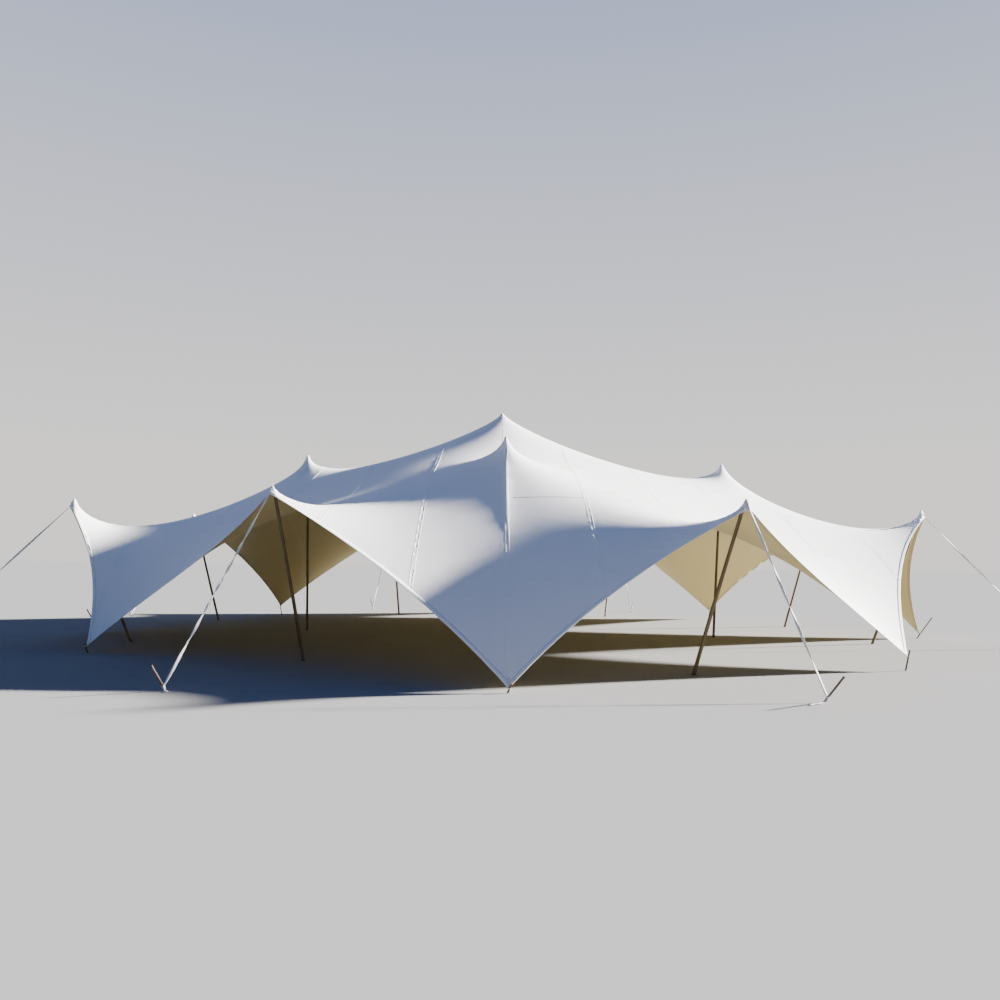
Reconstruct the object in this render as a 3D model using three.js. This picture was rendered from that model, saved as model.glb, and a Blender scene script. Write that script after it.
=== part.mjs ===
// Stretch tent: one elastic canopy stretched over a king pole, four inner poles and eight side poles
// that lean outwards. Eight low corners are pegged to the ground, and a webbing guy holds each side pole.
// Millimetres, +Z up. The origin is on the ground under the king pole, and the front is towards -Y.
import * as THREE from "three";

// Driving dimensions
const CLOTH_THICKNESS = 6;
const SEAM_GAP = 0.5;
const SEAT_GAP = 0.4;
const POLE_RADIUS = 29;
const KING_POLE_RADIUS = 38;
const STAKE_RADIUS = 14;
const GUY_STAKE_LENGTH = 500;
const GUY_STAKE_LEAN = 44;
const GUY_WIDTH = 38;
const GUY_THICKNESS = 7;
const GUY_TONGUE_WIDTH = 10;
const GUY_TONGUE_LENGTH = 60;
const GUY_END_HEIGHT = 95;

// King pole: its top, straight over the origin
const KING_TOP = [0, 0, 5350];

// Low corners of the canopy, against the clock as seen from above, starting at the front.
// Each has the tip of the cloth, and its stake's length above ground, lean, and turn away from straight
// outwards, in degrees. ridgePull is how hard the cloth pulls from the tip up towards the king pole.
const LOW_CORNERS = [
  { name: "front", tip: [40, -9700, 60], stake: [150, 30, 45], ridgePull: 1.31 },
  { name: "front_right", tip: [6650, -6650, 240], stake: [350, 12, 0], ridgePull: 0.25 },
  { name: "right", tip: [10150, 130, 110], stake: [640, 37, 0], ridgePull: 0.25 },
  { name: "back_right", tip: [6830, 7200, 250], stake: [400, 20, 0], ridgePull: 0.25 },
  { name: "back", tip: [130, 9600, 250], stake: [400, 20, 0], ridgePull: 0.25 },
  { name: "back_left", tip: [-6890, 6600, 280], stake: [400, 20, 0], ridgePull: 0.25 },
  { name: "left", tip: [-9150, -1150, 120], stake: [610, 30, 0], ridgePull: 0.25 },
  { name: "front_left", tip: [-7420, -5420, 120], stake: [180, 20, 0], ridgePull: 0.25 },
];

// Side poles in the same order, each between a low corner and the next one, with its foot, head and guy peg.
// ridgePull is how hard the cloth pulls from the head to the nearest inner pole. edgeSags tells how far
// the edges before and after the pole curve inwards, as shares of their length.
const SIDE_POLES = [
  {
    name: "front_right",
    foot: [2920, -7560],
    head: [3400, -8780, 2640],
    peg: [3980, -10200],
    ridgePull: 13.1,
    edgeSags: [0.073, 0.075],
  },
  {
    name: "right_front",
    foot: [8270, -1570],
    head: [9330, -1770, 2980],
    peg: [11880, -2300],
    ridgePull: 3.6,
    edgeSags: [0.047, 0.121],
  },
  {
    name: "right_back",
    foot: [8090, 3720],
    head: [9080, 4100, 2950],
    peg: [11180, 5050],
    ridgePull: 1.85,
    edgeSags: [0.055, 0.055],
  },
  {
    name: "back_right",
    foot: [3530, 7800],
    head: [3980, 8750, 2950],
    peg: [4880, 10850],
    ridgePull: 3,
    edgeSags: [0.075, 0.055],
  },
  {
    name: "back_left",
    foot: [-3270, 7800],
    head: [-3670, 8750, 2950],
    peg: [-4570, 10850],
    ridgePull: 3,
    edgeSags: [0.055, 0.03],
  },
  {
    name: "left_back",
    foot: [-7880, 3550],
    head: [-8830, 3970, 3030],
    peg: [-10920, 4900],
    ridgePull: 26.9,
    edgeSags: [0.076, 0.055],
  },
  {
    name: "left_front",
    foot: [-7570, -3140],
    head: [-8650, -3580, 2880],
    peg: [-10970, -4550],
    ridgePull: 21.4,
    edgeSags: [0.055, 0.106],
  },
  {
    name: "front_left",
    foot: [-3350, -6300],
    head: [-3740, -7150, 2910],
    peg: [-4350, -9920],
    ridgePull: 1.69,
    edgeSags: [0.126, 0.013],
  },
];

// Inner poles, under the spokes of the front, right, back and left low corners
const INNER_POLES = [
  { name: "front", foot: [30, -4850], head: [30, -5000, 4050] },
  { name: "right", foot: [5060, -300], head: [5280, -300, 4130] },
  { name: "back", foot: [130, 4850], head: [130, 5000, 4100] },
  { name: "left", foot: [-4740, 480], head: [-4840, 480, 4330] },
];

// Past each side pole the canopy turns down into a short lip, where the guy is sewn on
const LIP_OUT = 80;
const LIP_DOWN = 170;

// Pull of the edge hem, and pull of the cloth around each kind of support, which fades with distance
const HEM_PULL = 38900;
const KING_PULL = 10;
const INNER_PULL = 1.01;
const SIDE_PULL = 3.44;
const LOW_PULL = 0.14;
const PULL_RADIUS = 30;

// The cloth pulls harder along the ridges between the poles, and up from each low corner
const KING_RIDGE_PULL = 3.2;
const RIDGE_WIDTH = 600;

// The canopy is a net of rings round the king pole and spokes out to the edge.
// A ring's share is 1 at the inner poles and 2 at the edge.
const RINGS_INSIDE = [0, 0.04, 0.1, 0.19, 0.32, 0.48, 0.65, 0.83];
const RINGS_OUTSIDE = [1, 1.17, 1.36, 1.55, 1.72, 1.85, 1.94, 2];
const RING_SHARES = [...RINGS_INSIDE, ...RINGS_OUTSIDE];
const INNER_RING = RINGS_INSIDE.length;
const CROWN_RING = 3;
const EDGE_RING = RING_SHARES.length - 1;
const SPOKES_PER_SPAN = 6;
const SPANS = LOW_CORNERS.length * 2;
const SPOKES = SPANS * SPOKES_PER_SPAN;
const SPOKES_PER_QUARTER = SPOKES / INNER_POLES.length;
const SETTLING_SWEEPS = 1500;
const OVER_RELAXATION = 1.9;

const vector = (point) => new THREE.Vector3(...point);
const king = vector(KING_TOP);
const spokeOf = (spoke) => (spoke + SPOKES) % SPOKES;

function lipOf(head) {
  const outwards = new THREE.Vector3(head[0], head[1], 0).normalize();
  return vector(head).addScaledVector(outwards, LIP_OUT).setZ(head[2] - LIP_DOWN);
}

// The canopy's corners all the way round: low tip, lip, low tip, lip and so on
const corners = LOW_CORNERS.flatMap((low, k) => [vector(low.tip), lipOf(SIDE_POLES[k].head)]);

function edgePoint(spoke) {
  const span = Math.floor(spoke / SPOKES_PER_SPAN);
  const t = spoke / SPOKES_PER_SPAN - span;
  const from = corners[span];
  const to = corners[(span + 1) % SPANS];
  const inwards = new THREE.Vector3(from.y - to.y, to.x - from.x, 0);
  const sag = SIDE_POLES[Math.floor(span / 2)].edgeSags[span % 2];
  return from.clone().lerp(to, t).addScaledVector(inwards, sag * 4 * t * (1 - t));
}

// A point of the inner ring: halfway to the edge, shifted so that the ring passes over the inner poles
function innerRingPoint(spoke) {
  const halfway = (s) => king.clone().lerp(edgePoint(s), 0.5);
  const quarter = Math.floor(spoke / SPOKES_PER_QUARTER);
  const next = (quarter + 1) % INNER_POLES.length;
  const shiftAt = (q) => vector(INNER_POLES[q].head).sub(halfway(q * SPOKES_PER_QUARTER));
  const shift = shiftAt(quarter).lerp(shiftAt(next), spoke / SPOKES_PER_QUARTER - quarter);
  return halfway(spoke).add(shift);
}

function makeNet() {
  const net = RING_SHARES.map(() => []);
  for (let spoke = 0; spoke < SPOKES; spoke++) {
    const middle = innerRingPoint(spoke);
    const edge = edgePoint(spoke);
    RING_SHARES.forEach((share, ring) => {
      const inside = share <= 1;
      const point = inside ? king.clone().lerp(middle, share) : middle.clone().lerp(edge, share - 1);
      net[ring].push(point);
    });
  }
  SIDE_POLES.forEach((pole, k) => {
    net[EDGE_RING - 1][(2 * k + 1) * SPOKES_PER_SPAN].copy(vector(pole.head));
  });
  return net;
}

// Every point where the height is held: the king pole, the inner and side poles, and the corners
function isHeld(ring, spoke) {
  if (ring === 0) return true;
  if (ring === EDGE_RING) return spoke % SPOKES_PER_SPAN === 0;
  if (ring === INNER_RING) return spoke % SPOKES_PER_QUARTER === 0;
  return ring === EDGE_RING - 1 && spoke % (2 * SPOKES_PER_SPAN) === SPOKES_PER_SPAN;
}

const flatDistance = (a, b) => Math.hypot(a.x - b.x, a.y - b.y);

const supports = [
  { at: king, pull: KING_PULL },
  ...INNER_POLES.map((pole) => ({ at: vector(pole.head), pull: INNER_PULL })),
  ...SIDE_POLES.map((pole) => ({ at: vector(pole.head), pull: SIDE_PULL })),
  ...LOW_CORNERS.map((low) => ({ at: vector(low.tip), pull: LOW_PULL })),
];

// The straight line between two points as seen from above, and how hard the cloth pulls along it
function ridge(from, to, pull) {
  const start = vector(from).setZ(0);
  const along = vector(to).setZ(0).sub(start);
  const length = along.length();
  return { start, along: along.normalize(), length, pull };
}

function nearestInnerHead(head) {
  const distance = (pole) => flatDistance(vector(pole.head), vector(head));
  return INNER_POLES.reduce((best, pole) => (distance(pole) < distance(best) ? pole : best)).head;
}

const ridges = [
  ...SIDE_POLES.map((pole) => ridge(pole.head, nearestInnerHead(pole.head), pole.ridgePull)),
  ...INNER_POLES.map((pole) => ridge(pole.head, KING_TOP, KING_RIDGE_PULL)),
  ...LOW_CORNERS.map((low) => ridge(low.tip, KING_TOP, low.ridgePull)),
];

// How hard the cloth pulls at a place, per millimetre of its width: the same amount every way near
// the supports, and more along the ridges
function clothPull(place) {
  let evenly = 0;
  for (const { at, pull } of supports) {
    evenly += (1000 * pull) / (flatDistance(place, at) + PULL_RADIUS);
  }
  const tension = { xx: evenly, xy: 0, yy: evenly };
  for (const { start, along, length, pull } of ridges) {
    const offset = place.clone().setZ(0).sub(start);
    const reach = THREE.MathUtils.clamp(offset.dot(along), 0, length);
    const aside = offset.addScaledVector(along, -reach).length();
    const strength = pull * Math.exp(-((aside / RIDGE_WIDTH) ** 2));
    tension.xx += strength * along.x * along.x;
    tension.xy += strength * along.x * along.y;
    tension.yy += strength * along.y * along.y;
  }
  return tension;
}

const SMALLEST_AREA = 1;

// How hard every point of the net is pulled towards the height of each other one.
// The cloth's share is that of an elastic sheet, as the mean of both ways to halve each cell of the net.
function pullsOf(net) {
  const points = net.flat();
  const pulls = points.map(() => new Map());
  const addPull = (i, j, pull) => pulls[i].set(j, (pulls[i].get(j) ?? 0) + pull);
  const addTriangle = (corners) => {
    const [a, b, c] = corners.map((id) => points[id]);
    const area = Math.abs((b.x - a.x) * (c.y - a.y) - (c.x - a.x) * (b.y - a.y)) / 2;
    if (area < SMALLEST_AREA) return;
    const { xx, xy, yy } = clothPull(a.clone().add(b).add(c).divideScalar(3));
    const opposite = [c.clone().sub(b), a.clone().sub(c), b.clone().sub(a)];
    corners.forEach((i, m) => {
      corners.forEach((j, n) => {
        const [p, q] = [opposite[m], opposite[n]];
        const both = xx * p.y * q.y - xy * (p.x * q.y + p.y * q.x) + yy * p.x * q.x;
        addPull(i, j, both / (8 * area));
      });
    });
  };
  for (let ring = 0; ring <= EDGE_RING; ring++) {
    for (let spoke = 0; spoke < SPOKES; spoke++) {
      const [a, d] = [spoke, spokeOf(spoke + 1)].map((s) => ring * SPOKES + s);
      const [b, c] = [a + SPOKES, d + SPOKES];
      if (ring < EDGE_RING) [[a, b, c], [a, c, d], [a, b, d], [b, c, d]].forEach(addTriangle);
      if (ring < EDGE_RING) continue;
      const hem = HEM_PULL / flatDistance(points[a], points[d]);
      addPull(a, a, hem);
      addPull(d, d, hem);
      addPull(a, d, -hem);
      addPull(d, a, -hem);
    }
  }
  return pulls;
}

// Lets every free point of the net settle at the height where the pulls on it balance
function settle(net) {
  const points = net.flat();
  const free = [];
  pullsOf(net).forEach((pulls, id) => {
    if (isHeld(Math.floor(id / SPOKES), id % SPOKES)) return;
    const own = pulls.get(id);
    pulls.delete(id);
    free.push({ point: points[id], own, others: [...pulls].map(([j, pull]) => [points[j], pull]) });
  });
  for (let sweep = 0; sweep < SETTLING_SWEEPS; sweep++) {
    for (const { point, own, others } of free) {
      let balance = 0;
      for (const [other, pull] of others) balance -= pull * other.z;
      point.z += OVER_RELAXATION * (balance / own - point.z);
    }
  }
}

function normalsOf(net) {
  return net.map((row, ring) =>
    row.map((_, spoke) => {
      if (ring === 0) return new THREE.Vector3(0, 0, 1);
      const out = net[Math.min(ring + 1, EDGE_RING)][spoke].clone().sub(net[ring - 1][spoke]);
      const round = net[ring][spokeOf(spoke + 1)].clone().sub(net[ring][spokeOf(spoke - 1)]);
      return out.cross(round).normalize();
    }),
  );
}

const net = makeNet();
settle(net);
const normals = normalsOf(net);

// Closed solid between two sheets of points, given as rows of equal length.
// With closed set, each row runs on round to its own start. The two halves are folded as mirror images.
function sheetSolid(top, bottom, closed) {
  const rows = top.length;
  const columns = top[0].length;
  const positions = [...top.flat(), ...bottom.flat()].flatMap((p) => [p.x, p.y, p.z]);
  const under = rows * columns;
  const at = (row, column) => row * columns + (column % columns);
  const index = [];
  const quad = (a, b, c, d) => index.push(a, b, c, a, c, d);
  const cells = closed ? columns : columns - 1;
  for (let row = 0; row < rows - 1; row++) {
    for (let column = 0; column < cells; column++) {
      const [a, b] = [at(row, column), at(row + 1, column)];
      const [c, d] = [at(row + 1, column + 1), at(row, column + 1)];
      if (column < cells / 2) {
        quad(a, b, c, d);
        quad(under + c, under + b, under + a, under + d);
      } else {
        quad(b, c, d, a);
        quad(under + b, under + a, under + d, under + c);
      }
    }
  }
  for (let column = 0; column < cells; column++) {
    const [outer, outerNext] = [at(rows - 1, column), at(rows - 1, column + 1)];
    quad(outer, under + outer, under + outerNext, outerNext);
    if (closed) continue;
    const [inner, innerNext] = [at(0, column), at(0, column + 1)];
    quad(inner, innerNext, under + innerNext, under + inner);
  }
  if (!closed) {
    for (let row = 0; row < rows - 1; row++) {
      const [near, nearNext] = [at(row, 0), at(row + 1, 0)];
      const [far, farNext] = [at(row, columns - 1), at(row + 1, columns - 1)];
      quad(near, under + near, under + nearNext, nearNext);
      quad(far, farNext, under + farNext, under + far);
    }
  }
  const geometry = new THREE.BufferGeometry();
  geometry.setAttribute("position", new THREE.Float32BufferAttribute(positions, 3));
  geometry.setIndex(index);
  return geometry;
}

// The two faces of the cloth over part of the net. At a seam the points stand back by half the gap.
function clothFaces(rings, spokes, seams) {
  const faces = [CLOTH_THICKNESS / 2, -CLOTH_THICKNESS / 2].map((offset) =>
    rings.map((ring, r) =>
      spokes.map((spoke, s) => {
        const point = net[ring][spoke].clone();
        const standBack = (towards) => {
          point.add(towards.clone().sub(net[ring][spoke]).setLength(SEAM_GAP / 2));
        };
        if (seams.inner && r === 0) standBack(net[ring + 1][spoke]);
        if (seams.outer && r === rings.length - 1) standBack(net[ring - 1][spoke]);
        if (seams.sides && s === 0) standBack(net[ring][spokes[1]]);
        if (seams.sides && s === spokes.length - 1) standBack(net[ring][spokes[s - 1]]);
        return point.addScaledVector(normals[ring][spoke], offset);
      }),
    ),
  );
  return faces;
}

const range = (from, to) => Array.from({ length: to - from + 1 }, (_, k) => from + k);

// The crown: the cone of cloth over the king pole, which starts from one point at its top
function crownGeometry() {
  const [top, bottom] = clothFaces(range(1, CROWN_RING), range(0, SPOKES - 1), { outer: true });
  const geometry = sheetSolid(top, bottom, true);
  const positions = Array.from(geometry.getAttribute("position").array);
  const index = Array.from(geometry.getIndex().array);
  const topPoint = positions.length / 3;
  const bottomPoint = topPoint + 1;
  const under = CROWN_RING * SPOKES;
  positions.push(king.x, king.y, king.z + CLOTH_THICKNESS / 2);
  positions.push(king.x, king.y, king.z - CLOTH_THICKNESS / 2);
  for (let spoke = 0; spoke < SPOKES; spoke++) {
    const next = spokeOf(spoke + 1);
    index.push(topPoint, spoke, next);
    index.push(bottomPoint, under + next, under + spoke);
  }
  geometry.setAttribute("position", new THREE.Float32BufferAttribute(positions, 3));
  geometry.setIndex(index);
  return geometry;
}

// A gore: the cloth round one low corner, from the crown out, and from lip to lip
function goreGeometry(corner) {
  const middle = corner * 2 * SPOKES_PER_SPAN;
  const spokes = range(middle - SPOKES_PER_SPAN, middle + SPOKES_PER_SPAN).map(spokeOf);
  const seams = { inner: true, sides: true };
  const [top, bottom] = clothFaces(range(CROWN_RING, EDGE_RING), spokes, seams);
  return sheetSolid(top, bottom, false);
}

const canopyMaterial = new THREE.MeshStandardMaterial({ color: 0xf1eee6, roughness: 0.78, metalness: 0 });
const poleMaterial = new THREE.MeshStandardMaterial({ color: 0x5b4630, roughness: 0.72, metalness: 0 });
const guyMaterial = new THREE.MeshStandardMaterial({ color: 0xeeece4, roughness: 0.85, metalness: 0 });
const stakeMaterial = new THREE.MeshStandardMaterial({ color: 0x4d4a45, roughness: 0.5, metalness: 0.8 });

const tent = new THREE.Group();

function addPiece(name, geometry, material) {
  const mesh = new THREE.Mesh(geometry, material);
  mesh.name = name;
  tent.add(mesh);
  return mesh;
}

const crown = addPiece("canopy_crown", crownGeometry(), canopyMaterial);
const gores = LOW_CORNERS.map((low, k) => {
  return addPiece("canopy_" + low.name, goreGeometry(k), canopyMaterial);
});

// The triangles of the cloth's underside that lie within a given reach of a point, seen from above
function undersideNear(point, reach) {
  const found = [];
  for (const cloth of [crown, ...gores]) {
    const position = cloth.geometry.getAttribute("position");
    const index = cloth.geometry.getIndex();
    for (let t = 0; t < index.count; t += 3) {
      const [a, b, c] = [0, 1, 2].map((k) => {
        return new THREE.Vector3().fromBufferAttribute(position, index.getX(t + k));
      });
      const area = (b.x - a.x) * (c.y - a.y) - (c.x - a.x) * (b.y - a.y);
      const facesDown = area < -1e-6;
      const box = new THREE.Box3().setFromPoints([a, b, c]).expandByScalar(reach);
      const isNear = box.containsPoint(new THREE.Vector3(point.x, point.y, box.max.z));
      if (facesDown && isNear) found.push({ a, b, c, area });
    }
  }
  return found;
}

// Height of the lowest of some triangles over a point of the ground, or Infinity beside them all
function lowestOver(triangles, x, y) {
  let lowest = Infinity;
  for (const { a, b, c, area } of triangles) {
    const u = ((x - a.x) * (c.y - a.y) - (c.x - a.x) * (y - a.y)) / area;
    const v = ((b.x - a.x) * (y - a.y) - (x - a.x) * (b.y - a.y)) / area;
    if (u < 0 || v < 0 || u + v > 1) continue;
    lowest = Math.min(lowest, a.z + u * (b.z - a.z) + v * (c.z - a.z));
  }
  return lowest;
}

// Moves a round bar that stands along +Z onto its lean, with its foot cut level with the ground
function leanBar(geometry, foot, axis) {
  const turn = new THREE.Quaternion().setFromUnitVectors(new THREE.Vector3(0, 0, 1), axis);
  const position = geometry.getAttribute("position");
  for (let k = 0; k < position.count; k++) {
    const point = new THREE.Vector3().fromBufferAttribute(position, k);
    const atFoot = Math.abs(point.z) < 1e-6;
    point.applyQuaternion(turn).add(foot);
    if (atFoot) point.addScaledVector(axis, -point.z / axis.z).setZ(0);
    position.setXYZ(k, point.x, point.y, point.z);
  }
  return geometry;
}

function turnedBar(profile, sides) {
  const geometry = new THREE.LatheGeometry(profile, sides);
  return geometry.rotateX(Math.PI / 2);
}

const POLE_SIDES = 16;
const DOME_STEPS = 4;

// A pole with a domed head, of a given length along its axis
function poleGeometry(length, radius, foot, axis) {
  const profile = [new THREE.Vector2(0, 0), new THREE.Vector2(radius, 0)];
  for (let step = 0; step < DOME_STEPS; step++) {
    const angle = (step / DOME_STEPS) * (Math.PI / 2);
    const height = length - radius + radius * Math.sin(angle);
    profile.push(new THREE.Vector2(radius * Math.cos(angle), height));
  }
  profile.push(new THREE.Vector2(0, length));
  return leanBar(turnedBar(profile, POLE_SIDES), foot, axis);
}

const SEATING_STEPS = 16;
const POINTS_PER_SIDE = 4;

// Points spread over the faces of a bar above a given height
function facePoints(geometry, above) {
  const faces = geometry.toNonIndexed().getAttribute("position");
  const points = [];
  for (let t = 0; t < faces.count; t += 3) {
    const [a, b, c] = [0, 1, 2].map((k) => new THREE.Vector3().fromBufferAttribute(faces, t + k));
    if (Math.min(a.z, b.z, c.z) < above) continue;
    for (let u = 0; u <= POINTS_PER_SIDE; u++) {
      for (let v = 0; v <= POINTS_PER_SIDE - u; v++) {
        const towardsC = c.clone().sub(a).multiplyScalar(v / POINTS_PER_SIDE);
        points.push(a.clone().lerp(b, u / POINTS_PER_SIDE).add(towardsC));
      }
    }
  }
  return points;
}

// Height left between some points and the cloth over them, looked for on both sides of any seam
function clearanceOver(points, shift, cloth) {
  const beside = [[SEAM_GAP, SEAM_GAP], [-SEAM_GAP, SEAM_GAP], [0, -SEAM_GAP]];
  let clearance = Infinity;
  for (const point of points) {
    for (const [x, y] of beside) {
      const height = lowestOver(cloth, point.x + shift.x + x, point.y + shift.y + y);
      clearance = Math.min(clearance, height - point.z - shift.z);
    }
  }
  return clearance;
}

// A pole from its foot up to just under the cloth
function addPole(name, foot, head, radius) {
  const base = new THREE.Vector3(foot[0], foot[1], 0);
  const axis = vector(head).sub(base).normalize();
  const cloth = undersideNear(vector(head), 2 * radius);
  const fullLength = vector(head).distanceTo(base);
  const points = facePoints(poleGeometry(fullLength, radius, base, axis), head[2] / 2);
  let [tooHigh, lowEnough] = [0, 4 * radius];
  for (let step = 0; step < SEATING_STEPS; step++) {
    const shortened = (tooHigh + lowEnough) / 2;
    const shift = axis.clone().multiplyScalar(-shortened);
    if (clearanceOver(points, shift, cloth) > SEAT_GAP) lowEnough = shortened;
    else tooHigh = shortened;
  }
  addPiece(name, poleGeometry(fullLength - lowEnough, radius, base, axis), poleMaterial);
}

addPole("king_pole", [0, 0], KING_TOP, KING_POLE_RADIUS);
for (const pole of INNER_POLES) addPole("inner_pole_" + pole.name, pole.foot, pole.head, POLE_RADIUS);
for (const pole of SIDE_POLES) addPole("side_pole_" + pole.name, pole.foot, pole.head, POLE_RADIUS);

const STAKE_SIDES = 12;
const STAKE_BEVEL = 4;

// A steel stake that leans outwards, standing just clear of the given points on its inner side
function addStake(name, points, outwards, length, leanDegrees) {
  const lean = THREE.MathUtils.degToRad(leanDegrees);
  const axis = outwards.clone().multiplyScalar(Math.sin(lean)).setZ(Math.cos(lean));
  const inner = points[0];
  let reach = -Infinity;
  for (const point of points) {
    const out = point.clone().sub(inner).dot(outwards);
    const clear = (STAKE_RADIUS + SEAT_GAP) / Math.cos(lean);
    reach = Math.max(reach, out + clear - point.z * Math.tan(lean));
  }
  const foot = inner.clone().addScaledVector(outwards, reach).setZ(0);
  const profile = [
    new THREE.Vector2(0, 0),
    new THREE.Vector2(STAKE_RADIUS, 0),
    new THREE.Vector2(STAKE_RADIUS, length - STAKE_BEVEL),
    new THREE.Vector2(STAKE_RADIUS - STAKE_BEVEL, length),
    new THREE.Vector2(0, length),
  ];
  addPiece(name, leanBar(turnedBar(profile, STAKE_SIDES), foot, axis), stakeMaterial);
}

// The upper and lower point of the cloth at a corner of the canopy
function cornerPoints(spoke) {
  return [1, -1].map((side) => {
    const offset = (side * CLOTH_THICKNESS) / 2;
    return net[EDGE_RING][spoke].clone().addScaledVector(normals[EDGE_RING][spoke], offset);
  });
}

LOW_CORNERS.forEach((low, k) => {
  const [length, lean, turn] = low.stake;
  const outwards = vector(low.tip).setZ(0).normalize();
  outwards.applyAxisAngle(new THREE.Vector3(0, 0, 1), THREE.MathUtils.degToRad(turn));
  const points = cornerPoints(2 * k * SPOKES_PER_SPAN);
  addStake("corner_stake_" + low.name, points, outwards, length, lean);
});

// Points of the hem on both sides of a lip, where the tongue of its guy comes up against it
function hemPoints(spoke, across) {
  const lip = net[EDGE_RING][spoke];
  return [spoke - 1, spoke + 1].flatMap((beside) => {
    const hem = net[EDGE_RING][spokeOf(beside)].clone().sub(lip);
    hem.multiplyScalar(GUY_TONGUE_WIDTH / 2 / Math.abs(hem.dot(across)));
    return cornerPoints(spoke).map((point) => point.add(hem));
  });
}

// Outline of a guy of a given length: a narrow tongue that widens to the full webbing
function guyOutline(length) {
  const [tongue, full] = [GUY_TONGUE_WIDTH / 2, GUY_WIDTH / 2];
  const half = [[tongue, 0], [full, GUY_TONGUE_LENGTH], [full, length]];
  const otherHalf = half.map(([x, y]) => [-x, y]).reverse();
  return new THREE.Shape([...half, ...otherHalf].map(([x, y]) => new THREE.Vector2(x, y)));
}

// A flat webbing guy from the canopy's lip down to its stake
SIDE_POLES.forEach((pole, k) => {
  const spoke = (2 * k + 1) * SPOKES_PER_SPAN;
  const lip = net[EDGE_RING][spoke];
  const end = new THREE.Vector3(pole.peg[0], pole.peg[1], GUY_END_HEIGHT);
  const along = end.clone().sub(lip).normalize();
  const across = new THREE.Vector3(0, 0, 1).cross(along).normalize();
  const reach = Math.max(...hemPoints(spoke, across).map((point) => point.sub(lip).dot(along)));
  const start = lip.clone().addScaledVector(along, reach + SEAT_GAP + SEAM_GAP / 2);
  const flat = across.clone().cross(along);
  const settings = { depth: GUY_THICKNESS, bevelEnabled: false };
  const geometry = new THREE.ExtrudeGeometry(guyOutline(start.distanceTo(end)), settings);
  geometry.translate(0, 0, -GUY_THICKNESS / 2);
  const placed = new THREE.Matrix4().makeBasis(across, along, flat).setPosition(start);
  addPiece("guy_" + pole.name, geometry.applyMatrix4(placed), guyMaterial);
  const outwards = along.clone().setZ(0).normalize();
  const points = [1, -1].map((side) => end.clone().addScaledVector(flat, (side * GUY_THICKNESS) / 2));
  addStake("guy_stake_" + pole.name, points, outwards, GUY_STAKE_LENGTH, GUY_STAKE_LEAN);
});

export default tent;
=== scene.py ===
"""Looks of the stretch tent: one stretched cloth over timber poles, with its seams, hem, webbing and stakes.

Metres, +Z up. The origin is on the ground under the king pole, and the front is towards -Y.
"""
import math

import bpy
import numpy as np
from mathutils import Matrix, Vector, noise
from mathutils.bvhtree import BVHTree


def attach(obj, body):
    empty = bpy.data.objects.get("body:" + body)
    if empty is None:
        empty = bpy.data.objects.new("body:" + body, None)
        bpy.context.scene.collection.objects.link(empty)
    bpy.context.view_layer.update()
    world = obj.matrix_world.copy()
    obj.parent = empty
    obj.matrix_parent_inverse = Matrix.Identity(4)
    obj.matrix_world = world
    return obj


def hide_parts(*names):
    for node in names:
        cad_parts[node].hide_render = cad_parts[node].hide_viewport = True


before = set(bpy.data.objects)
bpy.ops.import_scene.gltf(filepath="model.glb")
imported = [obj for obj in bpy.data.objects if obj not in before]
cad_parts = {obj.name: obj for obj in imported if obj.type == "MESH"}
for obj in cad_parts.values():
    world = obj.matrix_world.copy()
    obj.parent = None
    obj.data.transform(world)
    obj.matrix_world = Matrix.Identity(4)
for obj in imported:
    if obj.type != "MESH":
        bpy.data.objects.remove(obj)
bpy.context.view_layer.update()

# The tent's driving points, which are those of the solids: tips, feet, heads and pegs
KING_TOP = (0.0, 0.0, 5.35)
LOW_CORNERS = {
    "front": (0.04, -9.70, 0.06),
    "front_right": (6.65, -6.65, 0.24),
    "right": (10.15, 0.13, 0.11),
    "back_right": (6.83, 7.20, 0.25),
    "back": (0.13, 9.60, 0.25),
    "back_left": (-6.89, 6.60, 0.28),
    "left": (-9.15, -1.15, 0.12),
    "front_left": (-7.42, -5.42, 0.12),
}
SIDE_POLES = {
    "front_right": {"foot": (2.92, -7.56), "head": (3.40, -8.78, 2.64)},
    "right_front": {"foot": (8.27, -1.57), "head": (9.33, -1.77, 2.98)},
    "right_back": {"foot": (8.09, 3.72), "head": (9.08, 4.10, 2.95)},
    "back_right": {"foot": (3.53, 7.80), "head": (3.98, 8.75, 2.95)},
    "back_left": {"foot": (-3.27, 7.80), "head": (-3.67, 8.75, 2.95)},
    "left_back": {"foot": (-7.88, 3.55), "head": (-8.83, 3.97, 3.03)},
    "left_front": {"foot": (-7.57, -3.14), "head": (-8.65, -3.58, 2.88)},
    "front_left": {"foot": (-3.35, -6.30), "head": (-3.74, -7.15, 2.91)},
}
INNER_POLES = {
    "front": {"foot": (0.03, -4.85), "head": (0.03, -5.00, 4.05)},
    "right": {"foot": (5.06, -0.30), "head": (5.28, -0.30, 4.13)},
    "back": {"foot": (0.13, 4.85), "head": (0.13, 5.00, 4.10)},
    "left": {"foot": (-4.74, 0.48), "head": (-4.84, 0.48, 4.33)},
}
LIP_OUT, LIP_DOWN = 0.08, 0.17

# How far the edges before and after each side pole curve inwards, as shares of their length
EDGE_SAGS = {
    "front_right": (0.073, 0.075),
    "right_front": (0.047, 0.121),
    "right_back": (0.055, 0.055),
    "back_right": (0.075, 0.055),
    "back_left": (0.055, 0.030),
    "left_back": (0.076, 0.055),
    "left_front": (0.055, 0.106),
    "front_left": (0.126, 0.013),
}

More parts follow.
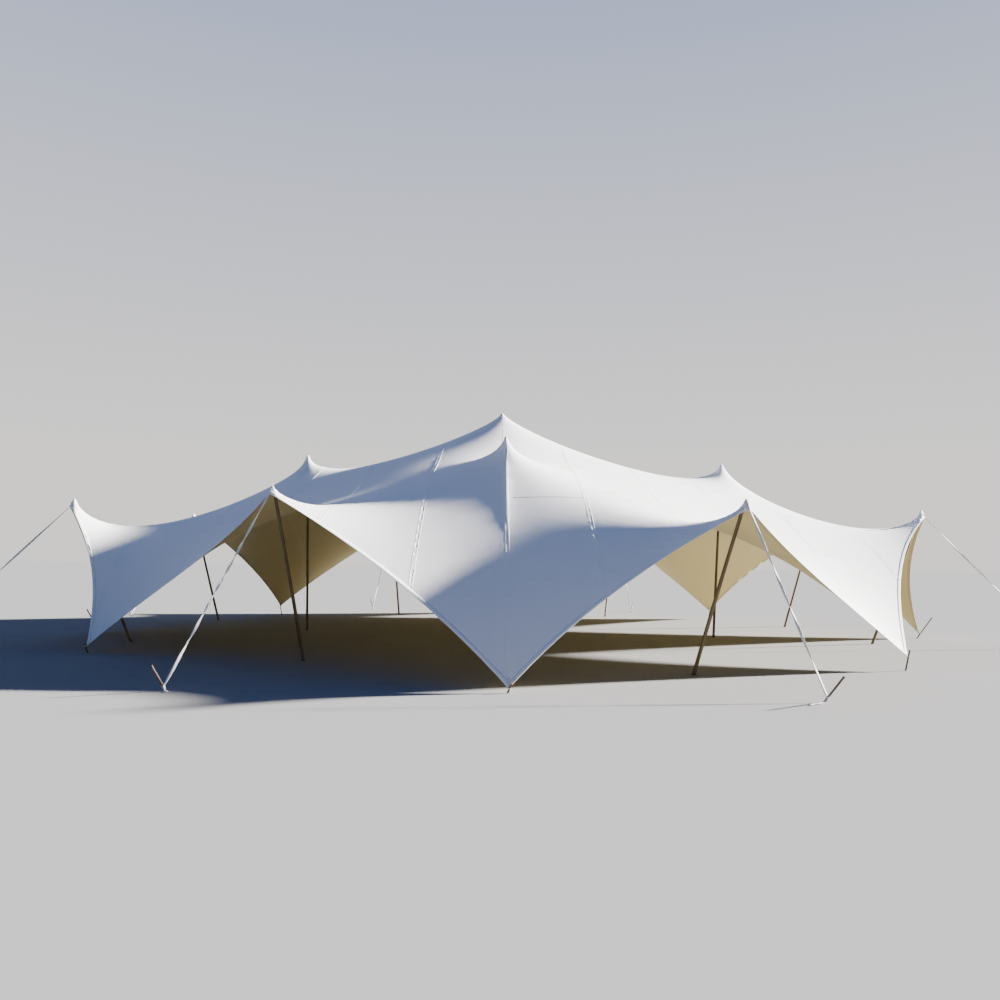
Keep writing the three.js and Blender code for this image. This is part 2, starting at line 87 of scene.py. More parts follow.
# Pull of the edge hem, and pull of the cloth round each kind of support, which fades with distance
HEM_PULL = 38.9
KING_PULL, INNER_PULL, SIDE_PULL, LOW_PULL = 10.0, 1.01, 3.44, 0.14
PULL_RADIUS = 0.03

# Extra pull of the cloth along the ridges: from each side pole to the nearest inner pole, from the inner
# poles to the king pole, and from the low corners to the king pole
SIDE_RIDGE_PULLS = {
    "front_right": 13.1,
    "right_front": 3.6,
    "right_back": 1.85,
    "back_right": 3.0,
    "back_left": 3.0,
    "left_back": 26.9,
    "left_front": 21.4,
    "front_left": 1.69,
}
KING_RIDGE_PULL = 3.2
LOW_RIDGE_PULLS = {name: 1.31 if name == "front" else 0.25 for name in LOW_CORNERS}
RIDGE_WIDTH = 0.6

# The net of the cloth: rings round the king pole and spokes out to the edge, bunched up at the poles
RINGS_INSIDE, RINGS_OUTSIDE = 28, 32
SPOKES_PER_SPAN = 18
SPANS = 2 * len(LOW_CORNERS)
SPOKES = SPANS * SPOKES_PER_SPAN
SPOKES_PER_QUARTER = SPOKES // len(INNER_POLES)
BUNCHING = 0.85
CLOTH_THICKNESS = 0.003

POLE_RADIUS, KING_POLE_RADIUS = 0.029, 0.038
STRIP_WIDTH, MIDDLE_STRIP_WIDTH = 1.525, 1.36
SEAM_WIDTH = 0.07
HEM_WIDTH = 0.06

CANOPY_NODES = ["canopy_crown", *("canopy_" + name for name in LOW_CORNERS)]


def noise_at(x, y=0.0, z=0.0):
    return noise.noise(Vector((x, y, z)))


# Materials

STITCH_PITCH = 0.008
STITCH_ROW_CORE, STITCH_ROW_REACH = 0.0004, 0.0012
WEAVE_PITCH = 0.0016
RIB_PITCH, CORD_PITCH = 0.0035, 0.005

THREAD_COLOUR = (0.92, 0.91, 0.88)
# The inside's sand is the cloth's own colour, made brighter and yellower as painted glow of light shining
# through the cloth and bounced up from below
WHITE, SAND_AND_PAINTED_GLOW = (0.88, 0.875, 0.865), (0.75, 0.61, 0.27)
WHITE_SOILED, SAND_SOILED = (0.50, 0.44, 0.34), (0.36, 0.30, 0.19)
# The hem's white is a little brighter than the cloth's: the extra is a painted highlight along the edge
HEM_WHITE_AND_PAINTED_HIGHLIGHT, HEM_SAND = (0.90, 0.895, 0.88), (0.62, 0.50, 0.25)
# Blue-grey of the cross seam: painted shade of the groove along it, with some soil
CROSS_SEAM_PAINTED_SHADE_GREY = (0.40, 0.40, 0.43)
WEBBING_WHITE, WEBBING_WHITE_SOILED = (0.82, 0.81, 0.78), (0.40, 0.36, 0.28)
WEBBING_SAND, WEBBING_SAND_SOILED = (0.62, 0.54, 0.36), (0.30, 0.25, 0.17)
WOOD_DARK, WOOD_LIGHT, WOOD_WORN = (0.062, 0.045, 0.021), (0.185, 0.130, 0.058), (0.250, 0.182, 0.096)
WOOD_CRACK, WOOD_DUST = (0.014, 0.011, 0.007), (0.26, 0.23, 0.16)
STEEL_DARK, STEEL_SCUFFED = (0.070, 0.068, 0.066), (0.34, 0.33, 0.32)
RUST_DARK, RUST_LIGHT = (0.10, 0.042, 0.018), (0.24, 0.105, 0.042)


def new_material(name):
    material = bpy.data.materials.new(name)
    material.use_nodes = True
    return material, material.node_tree, material.node_tree.nodes["Principled BSDF"]


def add_node(tree, kind, **settings):
    """A new node. Settings with a capital letter are sockets, and the others are the node's own."""
    node = tree.nodes.new("ShaderNode" + kind)
    for key, value in settings.items():
        if key[0].isupper():
            node.inputs[key.replace("_", " ")].default_value = value
        else:
            setattr(node, key, value)
    return node


def noise_of(tree, coordinates, scale, detail=3.0, roughness=0.55):
    node = add_node(tree, "TexNoise", Scale=scale, Detail=detail, Roughness=roughness)
    tree.links.new(coordinates, node.inputs["Vector"])
    return node.outputs["Fac"]


def ranged(tree, value, low, high, to_low, to_high):
    """A value spread over another range, and held at its ends."""
    node = add_node(tree, "MapRange")
    for socket, number in zip(("From Min", "From Max", "To Min", "To Max"), (low, high, to_low, to_high)):
        node.inputs[socket].default_value = number
    tree.links.new(value, node.inputs["Value"])
    return node.outputs["Result"]


def computed(tree, operation, first, second=0.0):
    node = add_node(tree, "Math", operation=operation)
    for socket, value in zip(node.inputs, (first, second)):
        if isinstance(value, (int, float)):
            socket.default_value = value
        else:
            tree.links.new(value, socket)
    return node.outputs[0]


def mixed(tree, share, first, second, blend="MIX"):
    node = add_node(tree, "Mix", data_type="RGBA", blend_type=blend)
    for socket, value in ((node.inputs[0], share), (node.inputs[6], first), (node.inputs[7], second)):
        if isinstance(value, (int, float)):
            socket.default_value = value
        elif isinstance(value, tuple):
            socket.default_value = (*value, 1.0)
        else:
            tree.links.new(value, socket)
    return node.outputs[2]


def bumped(tree, shader, height, strength, distance):
    node = add_node(tree, "Bump", Strength=strength, Distance=distance)
    tree.links.new(height, node.inputs["Height"])
    tree.links.new(node.outputs["Normal"], shader.inputs["Normal"])


def scaled(tree, coordinates, scale):
    node = add_node(tree, "Mapping", Scale=scale)
    tree.links.new(coordinates, node.inputs["Vector"])
    return node.outputs["Vector"]


def tent_coordinates(tree):
    return add_node(tree, "TexCoord").outputs["Object"]


def lay_coordinates(tree):
    """Coordinates along the weave or grain of a piece."""
    return add_node(tree, "Attribute", attribute_name="lay").outputs["Vector"]


def axes_of(tree, coordinates):
    node = add_node(tree, "SeparateXYZ")
    tree.links.new(coordinates, node.inputs[0])
    return node.outputs


def yarns(tree, coordinates, pitch, axis):
    """Rows of yarn that repeat every pitch along an axis."""
    waves_per_metre = math.tau / (20.0 * pitch)
    node = add_node(tree, "TexWave", Scale=waves_per_metre, bands_direction=axis)
    tree.links.new(coordinates, node.inputs["Vector"])
    return node.outputs["Fac"]


def stitches(tree, rows):
    """Where the thread of some rows of stitching lies, by its share from 0 to 1."""
    across, along, _ = axes_of(tree, lay_coordinates(tree))
    beat = computed(tree, "FRACT", computed(tree, "DIVIDE", along, STITCH_PITCH))
    off_beat = computed(tree, "ABSOLUTE", computed(tree, "SUBTRACT", beat, 0.5))
    dash = ranged(tree, off_beat, 0.28, 0.4, 1.0, 0.0)
    thread = 0.0
    for row in rows:
        aside = computed(tree, "ABSOLUTE", computed(tree, "SUBTRACT", across, row))
        row_thread = ranged(tree, aside, STITCH_ROW_CORE, STITCH_ROW_REACH, 1.0, 0.0)
        thread = computed(tree, "MAXIMUM", thread, row_thread)
    return computed(tree, "MULTIPLY", thread, dash)


def cloth_material(name, colour, soiled, sheen, stitch_rows=()):
    """Coated stretch cloth: a fine weave, bands of slightly different tone, mottling, and soil low down."""
    material, tree, shader = new_material(name)
    place = tent_coordinates(tree)
    x, _, z = axes_of(tree, place)

    strip = computed(tree, "FLOOR", computed(tree, "DIVIDE", x, STRIP_WIDTH))
    tone = add_node(tree, "TexWhiteNoise", noise_dimensions="1D")
    tree.links.new(strip, tone.inputs["W"])
    strip_tone = ranged(tree, tone.outputs["Value"], 0.0, 1.0, 0.98, 1.0)
    cloud = ranged(tree, noise_of(tree, place, 0.5, 3.0), 0.3, 0.7, 0.97, 1.0)
    mottle = ranged(tree, noise_of(tree, place, 9.0, 5.0, 0.65), 0.25, 0.75, 0.98, 1.0)
    shade = computed(tree, "MULTIPLY", computed(tree, "MULTIPLY", strip_tone, cloud), mottle)
    grey = add_node(tree, "CombineColor")
    for socket in grey.inputs:
        tree.links.new(shade, socket)
    clean = mixed(tree, 1.0, colour, grey.outputs[0], "MULTIPLY")

    low_down = ranged(tree, z, 0.03, 0.38, 1.0, 0.0)
    splash = ranged(tree, noise_of(tree, place, 14.0, 6.0, 0.7), 0.45, 0.72, 0.0, 0.5)
    streaks = noise_of(tree, scaled(tree, place, (1.0, 0.25, 1.0)), 1.3, 6.0, 0.6)
    stain = ranged(tree, streaks, 0.62, 0.85, 0.0, 0.1)
    soil = computed(tree, "MAXIMUM", computed(tree, "MULTIPLY", low_down, splash), stain)
    soiled_cloth = mixed(tree, soil, clean, soiled)

    weave = computed(tree, "ADD", yarns(tree, place, WEAVE_PITCH, "X"), yarns(tree, place, WEAVE_PITCH, "Y"))
    coarse = computed(tree, "MULTIPLY", noise_of(tree, place, 60.0, 4.0), 2.5)
    height = computed(tree, "ADD", weave, coarse)
    if stitch_rows:
        thread = stitches(tree, stitch_rows)
        soiled_cloth = mixed(tree, computed(tree, "MULTIPLY", thread, 0.6), soiled_cloth, THREAD_COLOUR)
        height = computed(tree, "ADD", height, computed(tree, "MULTIPLY", thread, 3.0))
    tree.links.new(soiled_cloth, shader.inputs["Base Color"])
    bumped(tree, shader, height, 0.35, 0.0005)
    tree.links.new(ranged(tree, cloud, 0.97, 1.0, 0.84, 0.7), shader.inputs["Roughness"])
    shader.inputs["Sheen Weight"].default_value = sheen
    shader.inputs["Sheen Roughness"].default_value = 0.45
    shader.inputs["Specular IOR Level"].default_value = 0.3
    return material


def webbing_material(name, colour, soiled):
    """Woven strap: ribs across its width, a worn and soiled lower end, and fuzzy mottling."""
    material, tree, shader = new_material(name)
    lay = lay_coordinates(tree)
    place = tent_coordinates(tree)
    _, _, z = axes_of(tree, place)
    ribs = yarns(tree, lay, RIB_PITCH, "Y")
    cords = yarns(tree, lay, CORD_PITCH, "X")
    mottle = ranged(tree, noise_of(tree, place, 35.0, 5.0, 0.7), 0.3, 0.7, 0.0, 0.3)
    low_down = ranged(tree, z, 0.02, 0.5, 0.8, 0.0)
    splash = computed(tree, "MULTIPLY", low_down, noise_of(tree, place, 40.0, 6.0))
    soil = computed(tree, "MAXIMUM", mottle, splash)
    tree.links.new(mixed(tree, soil, colour, soiled), shader.inputs["Base Color"])
    bumped(tree, shader, computed(tree, "ADD", ribs, computed(tree, "MULTIPLY", cords, 0.6)), 0.6, 0.0008)
    shader.inputs["Roughness"].default_value = 0.82
    shader.inputs["Sheen Weight"].default_value = 0.2
    return material


def timber_material(name):
    """Dark stained round timber: long grain, drying cracks, paler worn streaks and a dusty foot."""
    material, tree, shader = new_material(name)
    lay = lay_coordinates(tree)
    place = tent_coordinates(tree)
    _, _, z = axes_of(tree, place)
    grain = noise_of(tree, scaled(tree, lay, (60.0, 60.0, 2.2)), 1.0, 8.0, 0.65)
    figure = noise_of(tree, scaled(tree, lay, (9.0, 9.0, 0.8)), 1.0, 4.0, 0.6)
    crack = noise_of(tree, scaled(tree, lay, (34.0, 34.0, 1.1)), 1.0, 2.0, 0.4)
    wood = mixed(tree, ranged(tree, grain, 0.3, 0.72, 0.0, 1.0), WOOD_DARK, WOOD_LIGHT)
    wood = mixed(tree, ranged(tree, figure, 0.5, 0.75, 0.0, 0.55), wood, WOOD_WORN)
    gap = ranged(tree, crack, 0.66, 0.70, 0.0, 1.0)
    wood = mixed(tree, computed(tree, "MULTIPLY", gap, 0.85), wood, WOOD_CRACK)
    low_down = ranged(tree, z, 0.0, 0.35, 0.7, 0.0)
    dust = computed(tree, "MULTIPLY", low_down, noise_of(tree, place, 18.0, 5.0, 0.7))
    tree.links.new(mixed(tree, dust, wood, WOOD_DUST), shader.inputs["Base Color"])
    tree.links.new(ranged(tree, grain, 0.3, 0.7, 0.72, 0.5), shader.inputs["Roughness"])
    height = computed(tree, "SUBTRACT", computed(tree, "MULTIPLY", grain, 0.6), gap)
    bumped(tree, shader, height, 0.7, 0.002)
    shader.inputs["Specular IOR Level"].default_value = 0.35
    return material


def steel_material(name):
    """Dark bare steel bar with rust in patches and bright scuffs."""
    material, tree, shader = new_material(name)
    place = tent_coordinates(tree)
    rust = ranged(tree, noise_of(tree, place, 38.0, 7.0, 0.7), 0.46, 0.62, 0.0, 1.0)
    scratches = noise_of(tree, scaled(tree, place, (1.0, 1.0, 0.2)), 150.0, 3.0)
    scuff = ranged(tree, scratches, 0.62, 0.7, 0.0, 0.6)
    steel = mixed(tree, scuff, STEEL_DARK, STEEL_SCUFFED)
    fine = noise_of(tree, place, 240.0, 4.0)
    oxide = mixed(tree, fine, RUST_DARK, RUST_LIGHT)
    tree.links.new(mixed(tree, rust, steel, oxide), shader.inputs["Base Color"])
    tree.links.new(ranged(tree, rust, 0.0, 1.0, 0.85, 0.1), shader.inputs["Metallic"])
    tree.links.new(ranged(tree, rust, 0.0, 1.0, 0.42, 0.85), shader.inputs["Roughness"])
    bumped(tree, shader, computed(tree, "ADD", rust, fine), 0.5, 0.0006)
    return material


SHEEN_OUTSIDE, SHEEN_INSIDE = 0.12, 0.10
SEAM_ROWS = (-0.032, -0.026, 0.026, 0.032)
HEM_ROWS = (0.044, 0.051)


def outside_material(name, colour, stitch_rows=()):
    return cloth_material("cloth_outside" + name, colour, WHITE_SOILED, SHEEN_OUTSIDE, stitch_rows)


def inside_material(name, colour, stitch_rows=()):
    return cloth_material("cloth_inside" + name, colour, SAND_SOILED, SHEEN_INSIDE, stitch_rows)


# The inside and its seams carry the sand with its painted glow
OUTSIDE, INSIDE = outside_material("", WHITE), inside_material("", SAND_AND_PAINTED_GLOW)
SEAM_OUTSIDE = outside_material("_seam", WHITE, SEAM_ROWS)
SEAM_INSIDE = inside_material("_seam", SAND_AND_PAINTED_GLOW, SEAM_ROWS)
# The cross seam's cloth is painted blue-grey: painted shade of its groove, with some soil
CROSS_SEAM_PAINTED_SHADE_OUTSIDE = outside_material("_cross_seam_painted_shade", CROSS_SEAM_PAINTED_SHADE_GREY)
# The top of the hem carries its painted highlight
HEM_OUTSIDE = outside_material("_hem", HEM_WHITE_AND_PAINTED_HIGHLIGHT, HEM_ROWS)
HEM_INSIDE = inside_material("_hem", HEM_SAND, HEM_ROWS)
WEBBING = webbing_material("webbing_white", WEBBING_WHITE, WEBBING_WHITE_SOILED)
CORNER_WEBBING = webbing_material("webbing_sand", WEBBING_SAND, WEBBING_SAND_SOILED)
TIMBER = timber_material("stained_timber")
STEEL = steel_material("stake_steel")


# Meshes

# Faces with this many corners or more are the flat ends of a sweep
END_CORNERS = 5


def make_piece(name, points, faces, materials, lay=None):
    """A mesh object that rides with the tent, smooth but for its flat ends.

    lay gives the points' coordinates along a weave or grain.
    """
    mesh = bpy.data.meshes.new(name)
    mesh.from_pydata([tuple(p) for p in points], [], faces)
    for material in materials:
        mesh.materials.append(material)
    if lay is not None:
        attribute = mesh.attributes.new("lay", "FLOAT_VECTOR", "POINT")
        attribute.data.foreach_set("vector", np.asarray(lay, np.float32).ravel())
    mesh.validate()
    mesh.polygons.foreach_set("use_smooth", [polygon.loop_total < END_CORNERS for polygon in mesh.polygons])
    piece = bpy.data.objects.new(name, mesh)
    bpy.context.scene.collection.objects.link(piece)
    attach(piece, "root")
    return piece


def swept(sections, closed=False):
    """Points and faces of the solid through a row of outlines, each of the same number of points."""
    rows, size = sections.shape[:2]
    faces = []
    for row in range(rows if closed else rows - 1):
        here, there = row * size, (row + 1) % rows * size
        for k in range(size):
            n = (k + 1) % size
            faces.append((here + k, here + n, there + n, there + k))
    if not closed:
        faces.append(tuple(reversed(range(size))))
        faces.append(tuple(range((rows - 1) * size, rows * size)))
    return sections.reshape(-1, 3), faces


def unit(vectors):
    return vectors / np.linalg.norm(vectors, axis=-1, keepdims=True)


def directions_of(path):
    return unit(np.gradient(path, axis=0))


def sections_along(path, normals, outline, directions=None):
    """The outline, as (sideways, up) offsets, set across each point of a path."""
    directions = directions_of(path) if directions is None else directions
    sideways = unit(np.cross(directions, normals))
    up = np.cross(sideways, directions)
    outline = np.asarray(outline)
    return (
        path[:, None, :]
        + sideways[:, None, :] * outline[None, :, :1]
        + up[:, None, :] * outline[None, :, 1:]
    )


def lengths_along(path):
    return np.concatenate([[0.0], np.cumsum(np.linalg.norm(np.diff(path, axis=0), axis=1))])


def lay_of(path, outline):
    """Sideways and lengthways coordinates of every point of a sweep, for its weave."""
    outline = np.asarray(outline)
    rows = len(path)
    lay = np.zeros((rows, len(outline), 3))
    lay[:, :, 0] = outline[None, :, 0]
    lay[:, :, 1] = lengths_along(path)[:, None]
    lay[:, :, 2] = outline[None, :, 1]
    return lay.reshape(-1, 3)


# The cloth's net

def bunched(count):
    """Steps from 0 to 1 that are short at both ends."""
    t = np.linspace(0.0, 1.0, count + 1)
    return t - BUNCHING * np.sin(math.tau * t) / math.tau


def lip_of(head):
    outwards = unit(np.array([head[0], head[1], 0.0]))
    return np.array(head) + outwards * LIP_OUT - np.array([0.0, 0.0, LIP_DOWN])


def edge_points():
    """Points of the edge all the way round, from low tip to lip to low tip."""
    corners = []
    for low, pole in zip(LOW_CORNERS.values(), SIDE_POLES.values()):
        corners += [np.array(low), lip_of(pole["head"])]
    sags = [sag for pair in EDGE_SAGS.values() for sag in pair]
    points = []
    for start, end, sag in zip(corners, corners[1:] + corners[:1], sags):
        inwards = np.array([start[1] - end[1], end[0] - start[0], 0.0])
        for t in bunched(SPOKES_PER_SPAN)[:-1]:
            points.append(start + (end - start) * t + inwards * sag * 4 * t * (1 - t))
    return np.array(points)


def inner_ring(edge):
    """Points halfway to the edge, shifted so that they pass over the inner poles."""
    king = np.array(KING_TOP)
    halfway = (king + edge) / 2
    heads = np.array([pole["head"] for pole in INNER_POLES.values()])
    shifts = heads - halfway[::SPOKES_PER_QUARTER]
    spans_per_quarter = SPOKES_PER_QUARTER // SPOKES_PER_SPAN
    steps = np.concatenate([span + bunched(SPOKES_PER_SPAN)[:-1] for span in range(spans_per_quarter)])
    share = (steps / spans_per_quarter)[None, :, None]
    shift = shifts[:, None] * (1 - share) + np.roll(shifts, -1, axis=0)[:, None] * share
    return halfway + shift.reshape(-1, 3)


def make_net():
    edge = edge_points()
    middle = inner_ring(edge)
    king = np.array(KING_TOP)
    inside = [king + (middle - king) * share for share in bunched(RINGS_INSIDE)]
    outside = [middle + (edge - middle) * share for share in bunched(RINGS_OUTSIDE)[1:]]
    return np.array(inside + outside)


def heads_of(poles):
    return [pole["head"] for pole in poles.values()]


def nearest_inner_head(head):
    return min(heads_of(INNER_POLES), key=lambda inner: math.dist(inner[:2], head[:2]))


SUPPORTS = [(KING_TOP, KING_PULL)]
SUPPORTS += [(head, INNER_PULL) for head in heads_of(INNER_POLES)]
SUPPORTS += [(head, SIDE_PULL) for head in heads_of(SIDE_POLES)]
SUPPORTS += [(tip, LOW_PULL) for tip in LOW_CORNERS.values()]
RIDGES = [(head, KING_TOP, KING_RIDGE_PULL) for head in heads_of(INNER_POLES)]
RIDGES += [(tip, KING_TOP, LOW_RIDGE_PULLS[name]) for name, tip in LOW_CORNERS.items()]
RIDGES += [
    (pole["head"], nearest_inner_head(pole["head"]), SIDE_RIDGE_PULLS[name])
    for name, pole in SIDE_POLES.items()
]


def cloth_tension(places):
    """How hard the cloth pulls at some places, per metre of width: the terms xx, xy and yy of a tensor."""
    tension = np.zeros((*places.shape[:-1], 3))
    for at, pull in SUPPORTS:
        evenly = pull / (np.linalg.norm(places - np.array(at[:2]), axis=-1) + PULL_RADIUS)
        tension += evenly[..., None] * (1.0, 0.0, 1.0)
    for start, end, pull in RIDGES:
        start, end = np.array(start[:2]), np.array(end[:2])
        along = unit(end - start)
        offset = places - start
        reach = np.clip(offset @ along, 0.0, np.linalg.norm(end - start))
        aside = np.linalg.norm(offset - reach[..., None] * along, axis=-1)
        strength = pull * np.exp(-((aside / RIDGE_WIDTH) ** 2))
        tension += strength[..., None] * (along[0] ** 2, along[0] * along[1], along[1] ** 2)
    return tension


# Triangles with a smaller area than this carry no pull
SMALLEST_AREA = 5e-10


def cloth_pulls(plan):
    """How hard every point is pulled towards the heights of its own ring, and of the next ring out.

    The cloth acts as an elastic sheet, taken as the mean of both ways to halve each cell of the net.
    """
    rings, spokes = plan.shape[:2]
    own = np.zeros((rings, spokes, spokes))
    outward = np.zeros((rings - 1, spokes, spokes))
    here = np.arange(spokes)
    after = (here + 1) % spokes
    for ring in range(rings - 1):
        a, b, c, d = (ring, here), (ring + 1, here), (ring + 1, after), (ring, after)
        for triangle in ((a, b, c), (a, c, d), (a, b, d), (b, c, d)):
            points = [plan[corner] for corner in triangle]
            sides = [points[k - 1] - points[k - 2] for k in range(3)]
            area = np.abs(sides[0][:, 0] * sides[1][:, 1] - sides[0][:, 1] * sides[1][:, 0]) / 2
            share = np.where(area > SMALLEST_AREA, 1.0 / (8 * np.maximum(area, SMALLEST_AREA)), 0.0)
            xx, xy, yy = cloth_tension(sum(points) / 3).T
            for (p_ring, p_spokes), p in zip(triangle, sides):
                for (q_ring, q_spokes), q in zip(triangle, sides):
                    slant = xy * (p[:, 0] * q[:, 1] + p[:, 1] * q[:, 0])
                    pull = share * (xx * p[:, 1] * q[:, 1] - slant + yy * p[:, 0] * q[:, 0])
                    if p_ring == q_ring:
                        np.add.at(own[p_ring], (p_spokes, q_spokes), pull)
                    elif p_ring < q_ring:
                        np.add.at(outward[p_ring], (p_spokes, q_spokes), pull)
    hem = HEM_PULL / np.linalg.norm(plan[-1][after] - plan[-1], axis=-1)
    own[-1][here, here] += hem + np.roll(hem, 1)
    own[-1][here, after] -= hem
    own[-1][after, here] -= hem
    return own, outward


def settle(net, held, own, outward):
    """Sets every free point of the net at the height where the pulls on it balance, ring by ring."""
    rings, spokes = net.shape[:2]
    fixed = [net[0, :, 2].copy()]
    carried = [np.zeros((spokes, spokes))]
    for ring in range(1, rings):
        free = ~held[ring]
        inward = np.where(free[:, None], outward[ring - 1].T, 0.0)
        block = np.where(free[:, None], own[ring], np.eye(spokes)) + inward @ carried[-1]
        known = np.where(free, 0.0, net[ring, :, 2]) - inward @ fixed[-1]
        inverse = np.linalg.inv(block)
        fixed.append(inverse @ known)
        if ring < rings - 1:
            carried.append(-inverse @ np.where(free[:, None], outward[ring], 0.0))
    height = fixed[-1]
    net[-1, :, 2] = height
    for ring in range(rings - 2, 0, -1):
        height = fixed[ring] + carried[ring] @ height
        net[ring, :, 2] = height


# The cloth bears on a round pad at each pole head, wherever it would otherwise hang into it
PAD_RADIUS, KING_PAD_RADIUS = 0.034, 0.044
PAD_TIP = 0.012
PAD_ROUNDS = 3


def pad_heights(net):
    """The height of the pole pads under every point of the net, and how far each point is from a head."""
    height = np.full(net.shape[:2], -np.inf)
    distance = np.full(net.shape[:2], np.inf)
    pads = [(KING_TOP, KING_PAD_RADIUS)]
    pads += [(head, PAD_RADIUS) for head in [*heads_of(INNER_POLES), *heads_of(SIDE_POLES)]]
    for head, radius in pads:
        away = np.linalg.norm(net[..., :2] - np.array(head[:2]), axis=-1)
        dome = head[2] - radius + np.sqrt(np.maximum(radius**2 - away**2, 0.0))
        height = np.where(away < radius, np.maximum(height, dome), height)
        distance = np.minimum(distance, away)
    return height, distance


def stretch(net):
    """Holds the net at the king pole and the corners, and settles it over the pads."""
    own, outward = cloth_pulls(net[..., :2])
    held = np.zeros(net.shape[:2], bool)
    held[0] = True
    held[-1, ::SPOKES_PER_SPAN] = True
    pad, distance = pad_heights(net)
    pressed = distance < PAD_TIP
    for _ in range(PAD_ROUNDS):
        held |= pressed
        net[..., 2] = np.where(pressed, pad, net[..., 2])
        settle(net, held, own, outward)
        pressed = pressed | (net[..., 2] < pad)


# From the front pole down, the middle seam stands up in a sharp crease
CREASE_X = 0.03
CREASE_FROM, CREASE_TO = -5.06, -7.6
CREASE_HEIGHT, CREASE_REACH = 0.034, 0.085
CREASE_SKEW = 0.7
CREASE_RIPPLE, CREASE_RIPPLE_PITCH = 0.18, 13.0


def raise_crease(net):
    """Lifts the cloth along the crease, which is highest a little below the front pole."""
    share = np.clip((net[..., 1] - CREASE_FROM) / (CREASE_TO - CREASE_FROM), 0.0, 1.0)
    ripple = 1.0 + CREASE_RIPPLE * np.sin(CREASE_RIPPLE_PITCH * net[..., 1])
    swell = np.sin(math.pi * share**CREASE_SKEW) * ripple
    net[..., 2] += CREASE_HEIGHT * swell * np.exp(-np.abs(net[..., 0] - CREASE_X) / CREASE_REACH)


def normals_of(net):
    out = np.empty_like(net)
    out[1:-1] = net[2:] - net[:-2]
    out[-1] = net[-1] - net[-2]
    out[0] = net[1] - net[0]
    round_it = np.roll(net, -1, axis=1) - np.roll(net, 1, axis=1)
    round_it[0] = round_it[1]
    normals = unit(np.cross(out, round_it))
    normals[0] = (0.0, 0.0, 1.0)
    return normals


net = make_net()
stretch(net)
raise_crease(net)
normals = normals_of(net)
RINGS = len(net)


def triangles_between(rings):
    """The two triangles of every cell between some rings of points, which are numbered ring by ring."""
    for ring in range(rings - 1):
        for spoke in range(SPOKES):
            after = (spoke + 1) % SPOKES
            a, b = ring * SPOKES + spoke, (ring + 1) * SPOKES + spoke
            c, d = (ring + 1) * SPOKES + after, ring * SPOKES + after
            yield a, b, c
            yield a, c, d


def two_sided(upper, lower):
    """A solid between an upper and a lower sheet of the whole net, with material 1 on its underside."""
    count = (RINGS - 1) * SPOKES
    points = np.concatenate([upper[1:].reshape(-1, 3), lower[1:].reshape(-1, 3), upper[:1, 0], lower[:1, 0]])
    faces, sides = [], []
    for one, two, three in triangles_between(RINGS - 1):
        faces += [(one, two, three), (count + three, count + two, count + one)]
        sides += [0, 1]
    rim = (RINGS - 2) * SPOKES
    for spoke in range(SPOKES):
        after = (spoke + 1) % SPOKES
        faces.append((rim + spoke, count + rim + spoke, count + rim + after, rim + after))
        faces.append((2 * count, spoke, after))
        faces.append((2 * count + 1, count + after, count + spoke))
        sides += [0, 0, 1]
    return points, faces, sides


def make_canopy():
    offset = normals * CLOTH_THICKNESS / 2
    points, faces, sides = two_sided(net + offset, net - offset)
    canopy = make_piece("canopy_cloth", points, faces, [OUTSIDE, INSIDE])
    canopy.data.polygons.foreach_set("material_index", sides)
    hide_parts(*CANOPY_NODES)
    return canopy


canopy = make_canopy()


SURFACE = BVHTree.FromPolygons([tuple(p) for p in net.reshape(-1, 3)], list(triangles_between(RINGS)))
HIGH_UP = 10.0


def cloth_at(x, y):
    """The cloth's middle surface over a point of the ground, with its upward normal, or None beside it."""
    place, normal, _, _ = SURFACE.ray_cast(Vector((x, y, HIGH_UP)), Vector((0.0, 0.0, -1.0)))
    if place is None:
        return None
    return np.array(place), np.array(normal if normal.z > 0 else -normal)


def smoothed(values, passes=2):
    """Evens out a row of vectors, ends kept."""
    for _ in range(passes):
        values[1:-1] = (values[:-2] + 2 * values[1:-1] + values[2:]) / 4
    return values


# Seams, hem and patches

SEAM_STEP = 0.045
SEAM_EDGE = 0.5 * SEAM_WIDTH
SEAM_LIFT, SEAM_RELIEF = 0.0004, 0.004
# Half of a seam's outline, as shares of its half width and of its relief, and the height of its middle
SEAM_HALF = [(1.0, 0.0), (1.0, 0.3), (0.86, 0.9), (0.72, 1.0), (0.58, 0.3), (0.3, 0.15)]
SEAM_MIDDLE = 0.2
SEAM_OUTLINE = [(-across * SEAM_EDGE, rise) for across, rise in SEAM_HALF]
SEAM_OUTLINE += [(0.0, SEAM_MIDDLE)]
SEAM_OUTLINE += [(across * SEAM_EDGE, rise) for across, rise in reversed(SEAM_HALF)]
SHORTEST_RUN = 5
EDGE_HALVINGS = 12

# How a seam slackens along its length, how its sides pucker there, and how far they wander
SLACK_MEAN, SLACK_SWING, SLACK_PITCH = 0.45, 1.5, 0.6
PUCKER_MEAN, PUCKER_SWING, PUCKER_PITCH = 0.8, 0.9, 4.5
LEAST_PUCKER = 0.08
WANDER, WANDER_PITCH = 0.003, 2.2


def carries_seam(point, aside):
    """Whether the cloth lies under a point and under both sides of a seam there."""
    return all(cloth_at(*(point + aside * side)) is not None for side in (-1, 0, 1))


def edge_between(on_cloth, off_cloth, aside):
    """The last point of a line where the cloth still carries a seam."""
    for _ in range(EDGE_HALVINGS):
        middle = (on_cloth + off_cloth) / 2
        if carries_seam(middle, aside):
            on_cloth = middle
        else:
            off_cloth = middle
    return on_cloth


